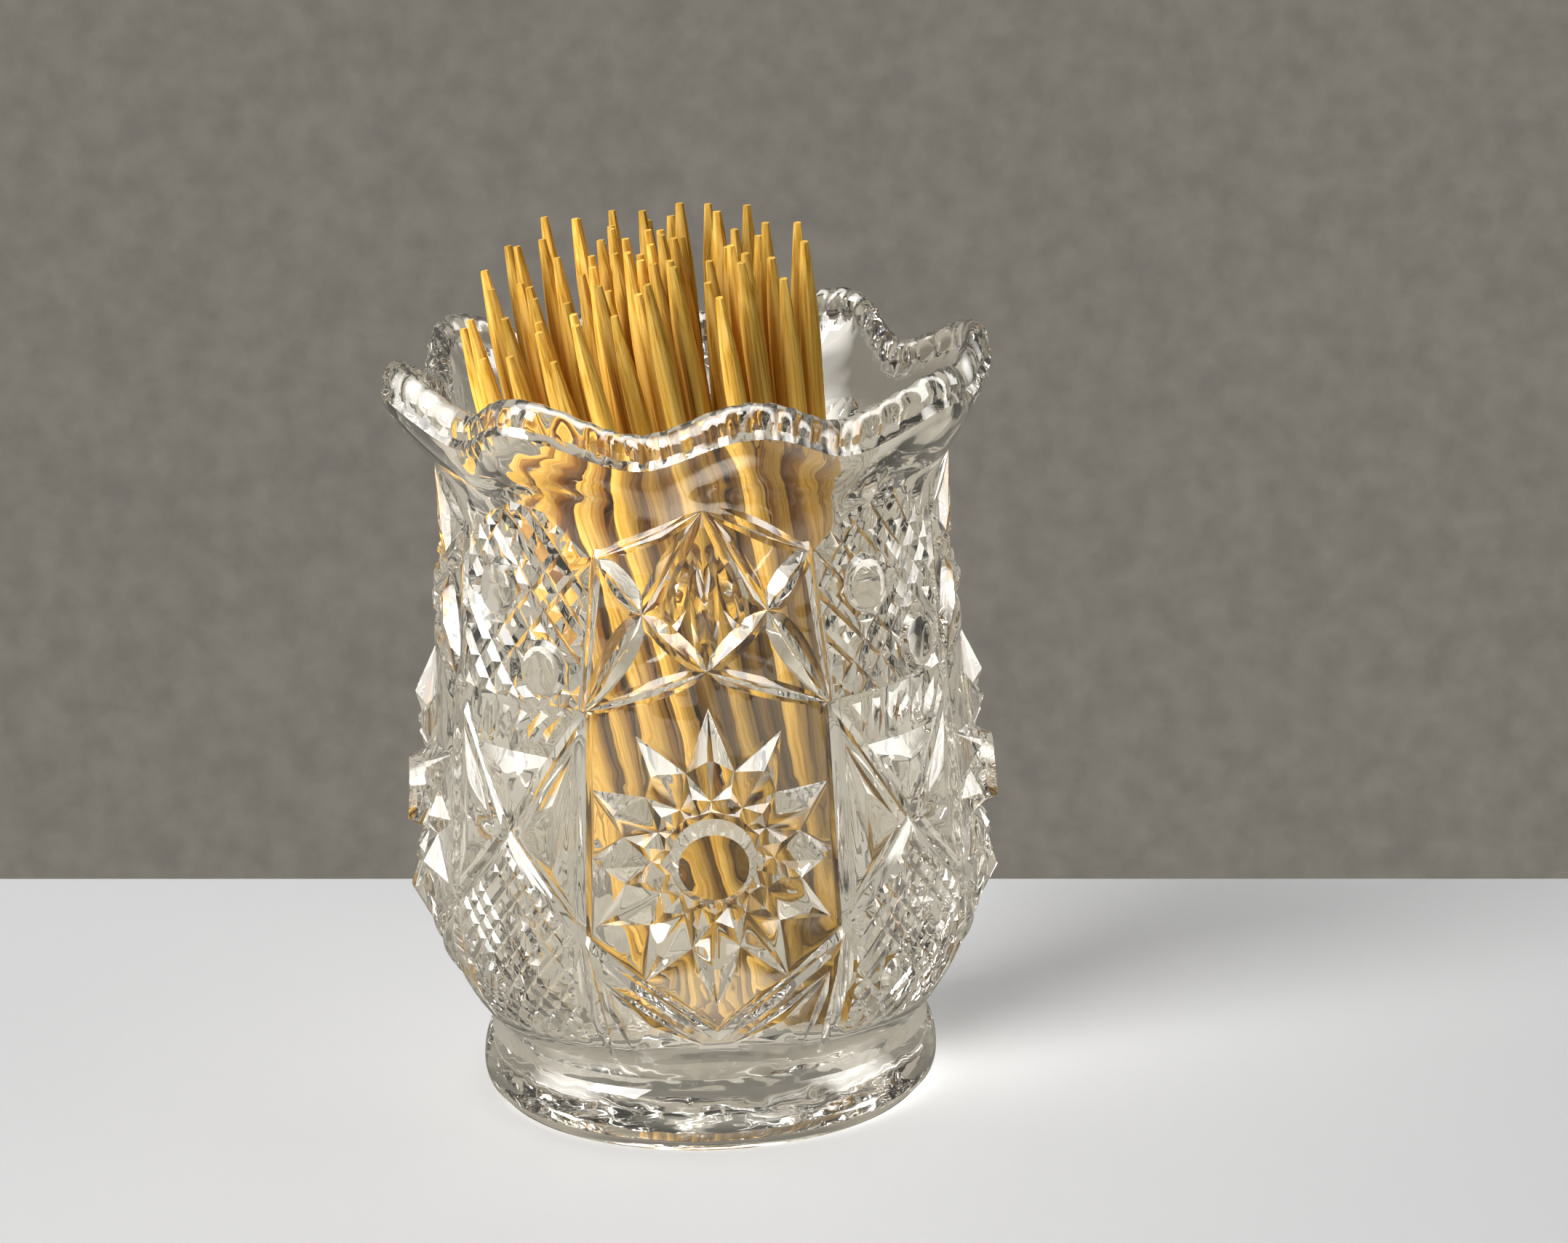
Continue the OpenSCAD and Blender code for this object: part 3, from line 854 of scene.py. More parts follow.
@dataclass
class GlassCup:
    """The pressed glass cup, as one closed mesh.

    The pattern needs creases that lie exactly on its lines, so the outside is
    laid out flat, triangulated between those lines and wrapped round the blank.

    Attributes:
        columns: Points across a quarter.
        row_height: Height between rows of points.
        clear: Smallest distance of such a point from a crease.
        seam_clear: The same for points on the seams, from the creases' ends.
        smooth_angle: Edges sharper than this stay sharp, in degrees.
        snap, merge, degenerate: Distances within which points of the layout
            and of the mesh are joined, and short edges are dissolved.
        rest_round, rest_lift: The rounded inner edge of the resting ring.
        foot_turns: Turns of the foot's round: first, end and step.
        foot_middle, foot_low, foot_high: Its middle and its reach down and up,
            as shares of the foot's height.
        rim_steps, flare_steps, wall_steps, floor_steps: Rings of each stretch.
    """

    profile: Profile
    columns: int = 120
    row_height: float = 0.8
    clear: float = 0.28
    seam_clear: float = 0.05
    smooth_angle: float = 24.0
    snap: float = 1e-5
    merge: float = 0.002
    degenerate: float = 0.0005
    rest_round: float = 0.25
    rest_lift: float = 0.18
    foot_turns: tuple[int, int, int] = (-34, 58, 7)
    foot_middle: float = 0.4
    foot_low: float = 0.4
    foot_high: float = 0.6
    rim_steps: int = 14
    flare_steps: int = 12
    wall_steps: int = 20
    floor_steps: int = 6

    def rows(self) -> list[float]:
        """Heights of the layout's rows of points."""
        p = self.profile
        count = round((p.rim_z - p.foot_h) / self.row_height)
        return [p.foot_h + (p.rim_z - p.foot_h) * k / count for k in range(count + 1)]

    def creases(self, motifs: list[Motif], domain: list[Point]) -> list[Crease]:
        """All creases of the pattern, cut off at the quarter's sides."""
        edge_x = domain[1][0]
        found = []
        for a, b in (crease for motif in motifs for crease in motif.creases()):
            if abs(a[0]) <= edge_x and abs(b[0]) <= edge_x:
                found.append((a, b))
            else:
                found += clip_to_outline(a, b, domain)
        return found

    def grid(self, creases: list[Crease], seam: list[float], edge_x: float) -> list[Vector]:
        """Evenly spread points that keep clear of the creases.

        Args:
            creases: The pattern's creases.
            seam: Heights at which creases meet a side of the quarter.
            edge_x: Half of the quarter's width.

        Returns:
            The points.
        """
        rows = self.rows()
        lines = np.array([[*a, *b] for a, b in creases])
        start, run = lines[:, :2], lines[:, 2:] - lines[:, :2]
        squares = np.maximum((run**2).sum(1), TINY)
        points = []
        for row, y in enumerate(rows):
            for k in range(self.columns + 1):
                p = np.array([edge_x * (2 * k / self.columns - 1), y])
                on_end = row in (0, len(rows) - 1)
                if not on_end and k in (0, self.columns):
                    if min(abs(y - other) for other in seam) < self.seam_clear:
                        continue
                elif not on_end:
                    share = np.clip(((p - start) * run).sum(1) / squares, 0, 1)
                    away = p - start - run * share[:, None]
                    if np.hypot(away[:, 0], away[:, 1]).min() < self.clear:
                        continue
                points.append(Vector((p[0], p[1])))
        return points

    def layout(self, pattern: Pattern) -> tuple[list[Vector], list[list[int]], list[Motif]]:
        """Triangulate a quarter's pattern.

        Args:
            pattern: The pattern of a quarter.

        Returns:
            Points, triangles and the motifs.
        """
        motifs = pattern.motifs()
        edge_x = pattern.x(QUARTER / 2)
        low, *_, high = self.rows()
        domain = [(-edge_x, low), (edge_x, low), (edge_x, high), (-edge_x, high)]
        creases = self.creases(motifs, domain)
        seam = [p[1] for crease in creases for p in crease if abs(p[0]) > edge_x - SMALL]
        points = [Vector((side, y)) for side in (-edge_x, edge_x) for y in seam]
        points += self.grid(creases, seam, edge_x)
        edges = []
        for start, end in creases:
            points += [Vector(start), Vector(end)]
            edges.append((len(points) - 2, len(points) - 1))
        corners = len(points)
        points += [Vector(p) for p in domain]
        edges += [(corners + k, corners + (k + 1) % 4) for k in range(4)]
        made, _, faces, *_ = delaunay_2d_cdt(points, edges, [], INSIDE_ONLY, self.snap)
        LOG.info("quarter layout: %d points, %d triangles", len(made), len(faces))
        return made, faces, motifs

    def point(self, angle: float, r: float, z: float) -> Vector:
        """A point of the mesh from angle, radius and height."""
        a = math.radians(angle)
        return Vector((r * math.sin(a), -r * math.cos(a), z)) * MM

    def below(self) -> list[Point]:
        """Radius and height of the rings under the layout, from the hollow up."""
        p = self.profile
        found = [
            (p.rest_inner_r - p.rest_hollow, p.rest_hollow),
            (p.rest_inner_r - self.rest_round, self.rest_lift),
            (p.rest_inner_r, 0.0),
            (p.rest_outer_r, 0.0),
        ]
        for turn in range(*self.foot_turns):
            out, up = math.cos(math.radians(turn)), math.sin(math.radians(turn))
            reach = p.foot_h * (self.foot_low if turn < 0 else self.foot_high)
            r = p.waist_r + (p.foot_r - p.waist_r) * out
            found.append((r, p.foot_h * self.foot_middle + reach * up))
        return found

    def above(self, angle: float) -> list[Point]:
        """Radius and height of the rings over the layout, down to the floor."""
        p = self.profile
        rim, flare, wall = self.rim_steps, self.flare_steps, self.wall_steps
        found = [p.rim_at(k / rim, angle) for k in range(1, rim + 1)]
        found += [p.flare_at(k / flare, angle, p.rim_wall, p.cavity_r) for k in range(flare - 1, 0, -1)]
        start, end = (p.cavity_r, p.neck_z), (p.floor_r, p.floor_z + p.floor_round)
        found += [between(start, end, k / wall) for k in range(wall + 1)]
        for k in range(1, self.floor_steps + 1):
            turn = math.pi / 2 * k / self.floor_steps
            r = p.floor_r - p.floor_round * (1 - math.cos(turn))
            found.append((r, p.floor_z + p.floor_round * (1 - math.sin(turn))))
        return found

    def build(self) -> bpy.types.Object:
        """Make the cup's mesh.

        Returns:
            The glass piece.
        """
        pattern = Pattern(self.profile)
        flat, triangles, motifs = self.layout(pattern)
        rises = [pattern.height(motifs, (v[0], v[1])) for v in flat]
        mesh = bmesh.new()
        for quarter in range(4):
            made = []
            for v, rise in zip(flat, rises):
                angle = math.degrees(v[0] / pattern.reference_r) + QUARTER * quarter
                r, z = self.profile.outside(angle, v[1])
                made.append(mesh.verts.new(self.point(angle, r + rise, z)))
            for face in triangles:
                mesh.faces.new([made[i] for i in face])
        self.add_rings(mesh)
        bmesh.ops.remove_doubles(mesh, verts=mesh.verts, dist=self.merge * MM)
        bmesh.ops.dissolve_degenerate(mesh, edges=mesh.edges, dist=self.degenerate * MM)
        bmesh.ops.recalc_face_normals(mesh, faces=mesh.faces)
        open_edges = sum(1 for e in mesh.edges if len(e.link_faces) != 2)
        LOG.info("glass: %d faces, %d open edges", len(mesh.faces), open_edges)
        data = bpy.data.meshes.new("glass_cup")
        mesh.to_mesh(data)
        mesh.free()
        return add_smoothed("glass_cup", data, self.smooth_angle)

    def add_rings(self, mesh: bmesh.types.BMesh) -> None:
        """Add the foot, the rim and the inside to the wrapped layout.

        Args:
            mesh: The mesh that holds the layout.
        """
        p, around = self.profile, 4 * self.columns
        angles = [360 * k / around - QUARTER / 2 for k in range(around)]
        low = [self.below() + [p.outside(a, p.foot_h)] for a in angles]
        high = [[p.outside(a, p.rim_z)] + self.above(a) for a in angles]
        for rings, centre_z, end in ((low, p.rest_hollow, 0), (high, p.floor_z, -1)):
            made = [
                [mesh.verts.new(self.point(a, r, z)) for r, z in ring] for a, ring in zip(angles, rings)
            ]
            centre = mesh.verts.new(self.point(0, 0, centre_z))
            for left, right in zip(made, made[1:] + made[:1]):
                for i in range(len(left) - 1):
                    mesh.faces.new((left[i], right[i], right[i + 1], left[i + 1]))
                mesh.faces.new((centre, left[end], right[end]))


@dataclass
class Toothpicks:
    """The wooden toothpicks, each in its CAD node's place.

    Attributes:
        sides: Corners round a toothpick.
        width, tip_width: Diameters of the stick and its blunt tip.
        taper: Length of its taper.
        rings: Width of each ring of the taper over the stick's, and its length
            as a share of the taper.
        tip_share: The same length for the tip.
        chipping: Least width of a chipped corner at the tip, as a share.
        chip_growth: How fast a chip grows towards the tip.
        cap_normal: Least upward part of the normal of a face across the stick.
        merge: Distance within which a CAD stick's corners are joined.
        smooth_angle: Edges sharper than this stay sharp, in degrees.
        seed: Seed of the small irregularities.
    """

    sides: int = 12
    width: float = 1.7
    tip_width: float = 0.72
    taper: float = 8.0
    rings: tuple[Point, ...] = ((0.93, 0.35), (0.6882, 0.35))
    tip_share: float = 0.3
    chipping: float = 0.82
    chip_growth: float = 1.5
    cap_normal: float = 0.9
    merge: float = 0.001
    smooth_angle: float = 34.0
    seed: int = 7

    def prototype(self) -> bpy.types.Object:
        """One upright stick, to be fitted to each CAD stick.

        Returns:
            The stick, straight from z = 0 to z = 1, with a taper that is
            PROTOTYPE_TAPER long beyond each end.
        """
        deselect_all()
        bpy.ops.mesh.primitive_cylinder_add(
            vertices=self.sides, radius=self.width / 2 * MM, depth=1.0, location=(0, 0, 0.5)
        )
        bpy.ops.object.transform_apply(location=True, rotation=True, scale=True)
        stick = bpy.context.object
        bpy.ops.object.mode_set(mode="EDIT")
        for end, way in ((0.0, -1), (1.0, 1)):
            shaped = bmesh.from_edit_mesh(stick.data)
            for face in shaped.faces:
                at_end = abs(face.calc_center_median().z - end) < PROTOTYPE_TAPER
                face.select_set(at_end and abs(face.normal.z) > self.cap_normal)
            bmesh.update_edit_mesh(stick.data)
            before = 1.0
            for width, step in (*self.rings, (self.tip_width / self.width, self.tip_share)):
                move, share = (0, 0, way * step * PROTOTYPE_TAPER), width / before
                bpy.ops.mesh.extrude_region_move(TRANSFORM_OT_translate={"value": move})
                bpy.ops.transform.resize(value=(share, share, 1), center_override=(0, 0, 0))
                before = width
        bpy.ops.object.mode_set(mode="OBJECT")
        return stick

    def shaped_like(
        self, stick: bpy.types.Object, axis: Vector, points: np.ndarray, draw: random.Random
    ) -> list[tuple[Vector, Vector]]:
        """Corners of one stick, fitted to a CAD stick.

        Args:
            stick: The prototype.
            axis: Direction of the CAD stick.
            points: Corners of the CAD stick.
            draw: Source of the small irregularities.

        Returns:
            Places of the corners, and their places in the stick's own frame.
        """
        n = np.array(axis)
        along = points @ n
        low, high = along.min(), along.max()
        middle = points.mean(0)
        foot = middle + n * (low - middle @ n)
        taper = self.taper * MM
        straight = high - low - 2 * taper
        turn = Vector((0, 0, 1)).rotation_difference(axis).to_matrix()
        spin = Matrix.Rotation(draw.uniform(0, math.tau), 3, "Z")
        chips = [draw.uniform(self.chipping, 1.0) for _ in range(self.sides)]
        shift = Vector((draw.uniform(-1, 1), draw.uniform(-1, 1), 0))
        found = []
        for v in stick.data.vertices:
            past = max(-v.co.z, v.co.z - 1.0, 0.0) / PROTOTYPE_TAPER
            z = taper + clamp(v.co.z) * straight
            if past:
                z += math.copysign(past * taper, v.co.z - 0.5)
            corner = round(math.degrees(math.atan2(v.co.y, v.co.x)) / (360 / self.sides)) % self.sides
            chip = 1 - (1 - chips[corner]) * clamp(past * self.chip_growth)
            local = Vector((v.co.x * chip, v.co.y * chip, z))
            found.append((turn @ (spin @ local) + Vector(foot), local + shift))
        return found

    def split(self, node: bpy.types.Object) -> list[np.ndarray]:
        """Corners of each loose stick of a CAD node.

        Args:
            node: The CAD node.

        Returns:
            One array of corners for each stick.
        """
        mesh = bmesh.new()
        mesh.from_mesh(node.data)
        bmesh.ops.remove_doubles(mesh, verts=mesh.verts, dist=self.merge * MM)
        left, found = set(mesh.verts), []
        while left:
            stack, group = [left.pop()], []
            while stack:
                v = stack.pop()
                group.append(tuple(v.co))
                for e in v.link_edges:
                    other = e.other_vert(v)
                    if other in left:
                        left.discard(other)
                        stack.append(other)
            found.append(np.array(group))
        mesh.free()
        return sorted(found, key=lambda g: tuple(g.mean(0).round(5)))

    def build(self, wood: bpy.types.Material) -> list[bpy.types.Object]:
        """Make a piece for each toothpick node.

        Args:
            wood: The toothpicks' material.

        Returns:
            The pieces.
        """
        stick = self.prototype()
        draw = random.Random(self.seed)
        pieces = []
        axes = {j["child"]: Vector(j["axis"]).normalized() for j in frame["joints"]}
        for body, axis in axes.items():
            places, own, faces = [], [], []
            for points in self.split(frame["nodes"][body]):
                base = len(places)
                fitted = self.shaped_like(stick, axis, points, draw)
                places += [f[0] for f in fitted]
                own += [f[1] for f in fitted]
                faces += [[base + i for i in p.vertices] for p in stick.data.polygons]
            data = bpy.data.meshes.new(f"wood_{body}")
            data.from_pydata(places, [], faces)
            grain = data.attributes.new("grain", "FLOAT_VECTOR", "POINT")
            grain.data.foreach_set("vector", np.array(own, dtype=np.float32).ravel())
            data.materials.append(wood)
            piece = add_smoothed(f"wood_{body}", data, self.smooth_angle)
            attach(piece, body)
            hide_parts(body)
            pieces.append(piece)
        bpy.data.objects.remove(stick)
        LOG.info("toothpicks: %d pieces", len(pieces))
        return pieces


@dataclass
class Wiring:
    """Short ways to add nodes to one node tree, each giving back its output."""

    tree: bpy.types.NodeTree

    def add(self, kind: str, values: dict, **settings: object) -> bpy.types.Node:
        """Add a node.

        Args:
            kind: Its type, without the prefix.
            values: Its inputs: a socket is linked, any other value is set.
            settings: Its own settings.

        Returns:
            The node.
        """
        node = self.tree.nodes.new("ShaderNode" + kind)
        for name, value in settings.items():
            setattr(node, name, value)
        self.feed(node, values)
        return node

    def feed(self, node: bpy.types.Node, values: dict) -> None:
        """Link or set some inputs of a node."""
        for key, value in values.items():
            if isinstance(value, bpy.types.NodeSocket):
                self.tree.links.new(value, node.inputs[key])
            else:
                node.inputs[key].default_value = value

    def math(self, operation: str, *values: object, clamped: bool = False) -> bpy.types.NodeSocket:
        """The result of a sum with sockets or numbers."""
        node = self.add("Math", dict(enumerate(values)), operation=operation, use_clamp=clamped)
        return node.outputs["Value"]

    def scaled(
        self, value: bpy.types.NodeSocket, low: float, high: float, start: float = 0.0, end: float = 1.0
    ) -> bpy.types.NodeSocket:
        """A value that runs from start to end while the given one runs from low to high."""
        values = {"Value": value, "From Min": low, "From Max": high, "To Min": start, "To Max": end}
        return self.add("MapRange", values).outputs["Result"]

    def noise(self, place: bpy.types.NodeSocket, scale: float, detail: float) -> bpy.types.NodeSocket:
        """A cloudy pattern, from 0 to 1."""
        values = {"Vector": place, "Scale": scale, "Detail": detail}
        return self.add("TexNoise", values).outputs["Fac"]

    def blend(self, kind: str, factor: object, a: object, b: object) -> bpy.types.NodeSocket:
        """Two colours, mixed, multiplied or added."""
        node = self.add("Mix", {}, data_type="RGBA", blend_type=kind)
        self.feed(node, {"Factor": factor, "A": a, "B": b})
        return node.outputs["Result"]

    def bump(self, height: bpy.types.NodeSocket, strength: float, depth: float) -> bpy.types.NodeSocket:
        """A normal that follows small heights."""
        values = {"Height": height, "Strength": strength, "Distance": depth}
        return self.add("Bump", values).outputs["Normal"]

    def mirrored(self) -> bpy.types.NodeSocket:
        """One for rays that a surface mirrors, zero for all others."""
        seen = self.add("LightPath", {}).outputs
        return self.math("SUBTRACT", seen["Is Glossy Ray"], seen["Is Transmission Ray"], clamped=True)


def new_material(name: str) -> tuple[bpy.types.Material, Wiring, bpy.types.Node]:
    """A material with its wiring and its Principled shader."""
    material = bpy.data.materials.new(name)
    material.use_nodes = True
    tree = material.node_tree
    return material, Wiring(tree), tree.nodes["Principled BSDF"]


@dataclass(frozen=True)
class GlassFinish:
    """Clear fire-polished glass.

    Attributes:
        ior, tint, roughness: Its optical values.
        clarity: Share of light that passes it, the rest is scattered.
        ripple: Strength of the pressed surface's waves.
        ripple_scale, ripple_depth: Their number and depth.
    """

    ior: float = 1.52
    tint: Colour = (0.985, 0.96, 0.9)
    roughness: float = 0.02
    clarity: float = 0.99
    ripple: float = 0.12
    ripple_scale: float = 300.0
    ripple_depth: float = 0.6 * MM

    def material(self) -> bpy.types.Material:
        """Make the material."""
        material, wiring, shader = new_material("clear_glass")
        place = wiring.add("TexCoord", {}).outputs["Object"]
        waves = wiring.noise(place, self.ripple_scale, 1.0)
        wiring.feed(
            shader,
            {
                "Base Color": (*self.tint, 1),
                "Transmission Weight": self.clarity,
                "Roughness": self.roughness,
                "IOR": self.ior,
                "Normal": wiring.bump(waves, self.ripple, self.ripple_depth),
            },
        )
        return material


@dataclass(frozen=True)
class WoodFinish:
    """Plain birch with streaks of grain along each stick, and painted shade that darkens each stick towards
    its lower end.

    Attributes:
        pale, warm, dark: Colours of the streaks.
        stops: Where each of them lies in the grain's pattern, from dark to pale.
        grain_scale: Fineness of the streaks across and along a stick.
        grain_detail, grain_bump, grain_depth: Their detail and their relief.
        tones: Darkest and palest stick, as a share of these colours.
        tone_scale: How much the sticks differ from their neighbours.
        painted_shade_tone: Painted shade of the lower tips, which lie deep in the glass: the share of the
            colours left there.
            painted_shade_from, painted_shade_to: Where along the stick that painted shade fades out.
    """

    pale: Colour = (1.0, 0.64, 0.16)
    warm: Colour = (0.8, 0.44, 0.06)
    dark: Colour = (0.36, 0.13, 0.012)
    stops: tuple[float, float, float] = (0.22, 0.42, 0.62)
    grain_scale: tuple[float, float, float] = (4600.0, 4600.0, 120.0)
    grain_detail: float = 4.0
    grain_bump: float = 0.35
    grain_depth: float = 0.1 * MM
    tones: tuple[float, float] = (0.55, 1.12)
    tone_scale: float = 2.3
    painted_shade_tone: float = 0.5
    painted_shade_from: float = 18 * MM
    painted_shade_to: float = 52 * MM
    roughness: float = 0.62

    def material(self) -> bpy.types.Material:
        """Make the material."""
        material, wiring, shader = new_material("toothpick_birch")
        grain = wiring.add("Attribute", {}, attribute_name="grain").outputs["Vector"]
        fine = wiring.add("Mapping", {"Vector": grain, "Scale": self.grain_scale}).outputs["Vector"]
        streaks = wiring.noise(fine, 1.0, self.grain_detail)
        ramp = wiring.add("ValToRGB", {"Fac": streaks})
        stops = ramp.color_ramp.elements
        stops.new(self.stops[1])
        for stop, position, colour in zip(stops, self.stops, (self.dark, self.warm, self.pale)):
            stop.position = position
            stop.color = (*colour, 1)
        tone = wiring.scaled(wiring.noise(grain, self.tone_scale, 0.0), *NOISE_SPAN, *self.tones)
        # painted shade: each stick is darkened towards its lower end, where it lies deep in the glass
        along = wiring.add("SeparateXYZ", {"Vector": grain}).outputs["Z"]
        painted_foot_shade = wiring.scaled(along, self.painted_shade_from, self.painted_shade_to, self.painted_shade_tone)
        tone_and_painted_shade = wiring.math("MULTIPLY", painted_foot_shade, tone)
        wiring.feed(
            shader,
            {
                "Base Color": wiring.blend("MULTIPLY", 1.0, ramp.outputs["Color"], tone_and_painted_shade),
                "Roughness": self.roughness,
                "Specular IOR Level": 0.0,
                "Normal": wiring.bump(streaks, self.grain_bump, self.grain_depth),
            },
        )
        return material


@dataclass(frozen=True)
class TableFinish:
    """A matt white table with painted light for the glass: mirrored rays see a painted glow in front of and
    beside the holder, and rays that passed the glass see a set painted brightness instead of the lit table.

    Attributes:
        colour: Its colour.
        painted_glow_colour: Colour of the painted brightness that rays through the glass, and mirrored rays,
            see of it.
        through_share: How much of that the rays through the glass see.
        painted_glow: Brightness of the painted glow in mirrored rays.
        painted_glow_place: Middle of the painted glow in front of the holder.
        painted_glow_from, painted_glow_to: Where that glow fades out round its middle.
        side_painted_glow: Share of the painted glow beside the holder.
        side_from, side_to: Where it fades in on both sides.
        mirrored_share: Painted brightness of the plain table in mirrored rays.
    """

    colour: Colour = (0.55, 0.55, 0.55)
    roughness: float = 0.35
    painted_glow_colour: Colour = (0.47, 0.44, 0.37)
    through_share: float = 0.85
    painted_glow: float = 11.0
    painted_glow_place: tuple[float, float, float] = (0.0, -46 * MM, 0.0)
    painted_glow_from: float = 14 * MM
    painted_glow_to: float = 26 * MM
    side_painted_glow: float = 0.3
    side_from: float = 45 * MM
    side_to: float = 85 * MM
    mirrored_share: float = 0.4

    def material(self) -> bpy.types.Material:
        """Make the material."""
        material, wiring, shader = new_material("white_table")
        colour = {"Base Color": (*self.colour, 1), "Roughness": self.roughness}
        wiring.feed(shader, {**colour, "Specular IOR Level": 0.0})
        place = wiring.add("TexCoord", {}).outputs["Object"]
        # painted glow: a bright place in front of the holder and beside it, which only mirrored rays see
        apart = wiring.add("VectorMath", {0: place, 1: self.painted_glow_place}, operation="DISTANCE")
        front = wiring.scaled(apart.outputs["Value"], self.painted_glow_from, self.painted_glow_to, 1.0, 0.0)
        across = wiring.math("ABSOLUTE", wiring.add("SeparateXYZ", {"Vector": place}).outputs["X"])
        beside = wiring.scaled(across, self.side_from, self.side_to, 0.0, self.side_painted_glow)
        mirrored = wiring.mirrored()
        painted_glow_mask = wiring.math("MULTIPLY", mirrored, wiring.math("MAXIMUM", front, beside))
        plain = wiring.math("MULTIPLY_ADD", mirrored, self.mirrored_share - 1, 1.0)
        strength = wiring.math("MULTIPLY_ADD", painted_glow_mask, self.painted_glow, plain)
        # this emission is painted light: the glow in mirrored rays, and a set brightness in place of the lit
        # table for rays through the glass
        painted_glow = wiring.add("Emission", {"Color": (*self.painted_glow_colour, 1), "Strength": strength})
        through = wiring.add("LightPath", {}).outputs["Is Transmission Ray"]
        share = wiring.math("MULTIPLY_ADD", through, self.through_share, mirrored, clamped=True)
        shown = {"Fac": share, 1: shader.outputs["BSDF"], 2: painted_glow.outputs["Emission"]}
        mix = wiring.add("MixShader", shown)
        wiring.feed(material.node_tree.nodes["Material Output"], {"Surface": mix.outputs["Shader"]})
        return material


class Lamp(NamedTuple):
    """A lamp's name, place and size in metres, and power in watts."""

    name: str
    place: tuple[float, float, float]
    size: tuple[float, float]
    power: float


@dataclass
class Studio:
    """Camera, lights, table and background.

    Attributes:
        camera_distance, camera_height, camera_side: The camera's place.
        pitch, yaw, roll: How it is turned, in degrees.
        lens, sensor, near_clip: Its optics, in millimetres.
        table_*: The table's size, its back edge from the holder's axis and turn.
        aim, lamps: The point that the lamps face, in metres, and the lamps.
        backdrop: The wall behind the table.
        speckle, speckle_tones: Its unevenness: scale, detail, and shades.
        room, behind_camera: What the glass shows in front of and behind the camera.
        fill: Even light on everything that isn't seen.
        painted_tent, painted_tent_tint: Brightness and colour of the painted reflection of screens beside
            the camera, which only mirrored rays see.
        camera_side_ways, wall_ways, tent_start, tent_end: Ways of a ray past the
            holder, from -1 to 1, between which each of these fades in or out.
    """

    camera_distance: float = 388.57
    camera_height: float = 149.27
    camera_side: float = -1.62
    pitch: float = 15.531
    yaw: float = 1.105
    roll: float = -1.511
    lens: float = 106.9
    table_back: float = 53.5
    table_turn: float = -7.4
    table_depth: float = 1400.0
    table_width: float = 3000.0
    table_thick: float = 20.0
    sensor: float = 36.0
    near_clip: float = 10.0
    aim: tuple[float, float, float] = (0.0, 0.0, 35 * MM)
    lamps: tuple[Lamp, ...] = (
        Lamp("window_left", (-0.66, -0.5, 0.58), (0.45, 0.6), 14.0),
        Lamp("window_right", (0.7, -0.15, 0.5), (0.3, 0.6), 0.7),
        Lamp("ceiling", (0.0, 0.1, 1.0), (0.8, 0.6), 4.0),
    )
    backdrop: Colour = (0.2, 0.185, 0.16)
    speckle: tuple[float, float] = (160.0, 3.0)
    speckle_tones: tuple[float, float] = (0.9, 1.1)
    room: Colour = (0.42, 0.39, 0.325)
    behind_camera: Colour = (0.1, 0.09, 0.07)
    fill: Colour = (0.06, 0.06, 0.065)
    # painted reflection: brightness of the screens that only mirrored rays see
    painted_tent: float = 13.0
    painted_tent_tint: Colour = (1.0, 0.97, 0.92)
    camera_side_ways: tuple[float, float] = (-0.6, -0.35)
    wall_ways: tuple[float, float] = (0.86, 0.95)
    tent_start: tuple[float, float] = (-0.55, -0.38)
    tent_end: tuple[float, float] = (-0.08, 0.25)

    def add_camera(self) -> None:
        """Place the camera at the photograph's viewpoint."""
        turn = Matrix.Rotation(math.radians(self.camera_side), 4, "Z")
        phi, psi, rho = (math.radians(a) for a in (self.pitch, self.yaw, self.roll))
        forward = Vector((math.sin(psi) * math.cos(phi), math.cos(psi) * math.cos(phi), -math.sin(phi)))
        level = Vector((math.cos(psi), -math.sin(psi), 0))
        upright = level.cross(forward)
        right = level * math.cos(rho) + upright * math.sin(rho)
        up = upright * math.cos(rho) - level * math.sin(rho)
        placed = Matrix((right, up, -forward)).transposed().to_4x4()
        placed.translation = Vector((0, -self.camera_distance, self.camera_height)) * MM
        data = bpy.data.cameras.new("camera")
        data.sensor_width = self.sensor
        data.lens = self.lens
        data.clip_start = self.near_clip * MM
        camera = bpy.data.objects.new("camera", data)
        bpy.context.collection.objects.link(camera)
        camera.matrix_world = turn @ placed
        bpy.context.scene.camera = camera

    def add_light(self, lamp: Lamp) -> None:
        """Add a soft rectangular light that faces the holder."""
        data = bpy.data.lights.new(lamp.name, "AREA")
        data.shape = "RECTANGLE"
        data.size, data.size_y = lamp.size
        data.energy = lamp.power
        light = bpy.data.objects.new(lamp.name, data)
        bpy.context.collection.objects.link(light)
        light.location = lamp.place
        way = Vector(self.aim) - Vector(lamp.place)
        light.rotation_euler = way.to_track_quat("-Z", "Y").to_euler()

    def add_table(self) -> None:
        """Add the table top, which ends a little behind the holder."""
        deselect_all()
        width, depth, thick = (size * MM for size in (self.table_width, self.table_depth, self.table_thick))
        back = self.table_back * MM
        bpy.ops.mesh.primitive_cube_add(size=1, location=(0, back - depth / 2, -thick / 2))
        table = bpy.context.object
        table.name = "table"
        table.scale = (width, depth, thick)
        bpy.ops.object.transform_apply(location=True, rotation=True, scale=True)
        pivot = Matrix.Translation((0, back, 0))
        turn = Matrix.Rotation(math.radians(self.table_turn), 4, "Z")
        table.data.transform(pivot @ turn @ pivot.inverted())
        table.data.materials.append(TableFinish().material())

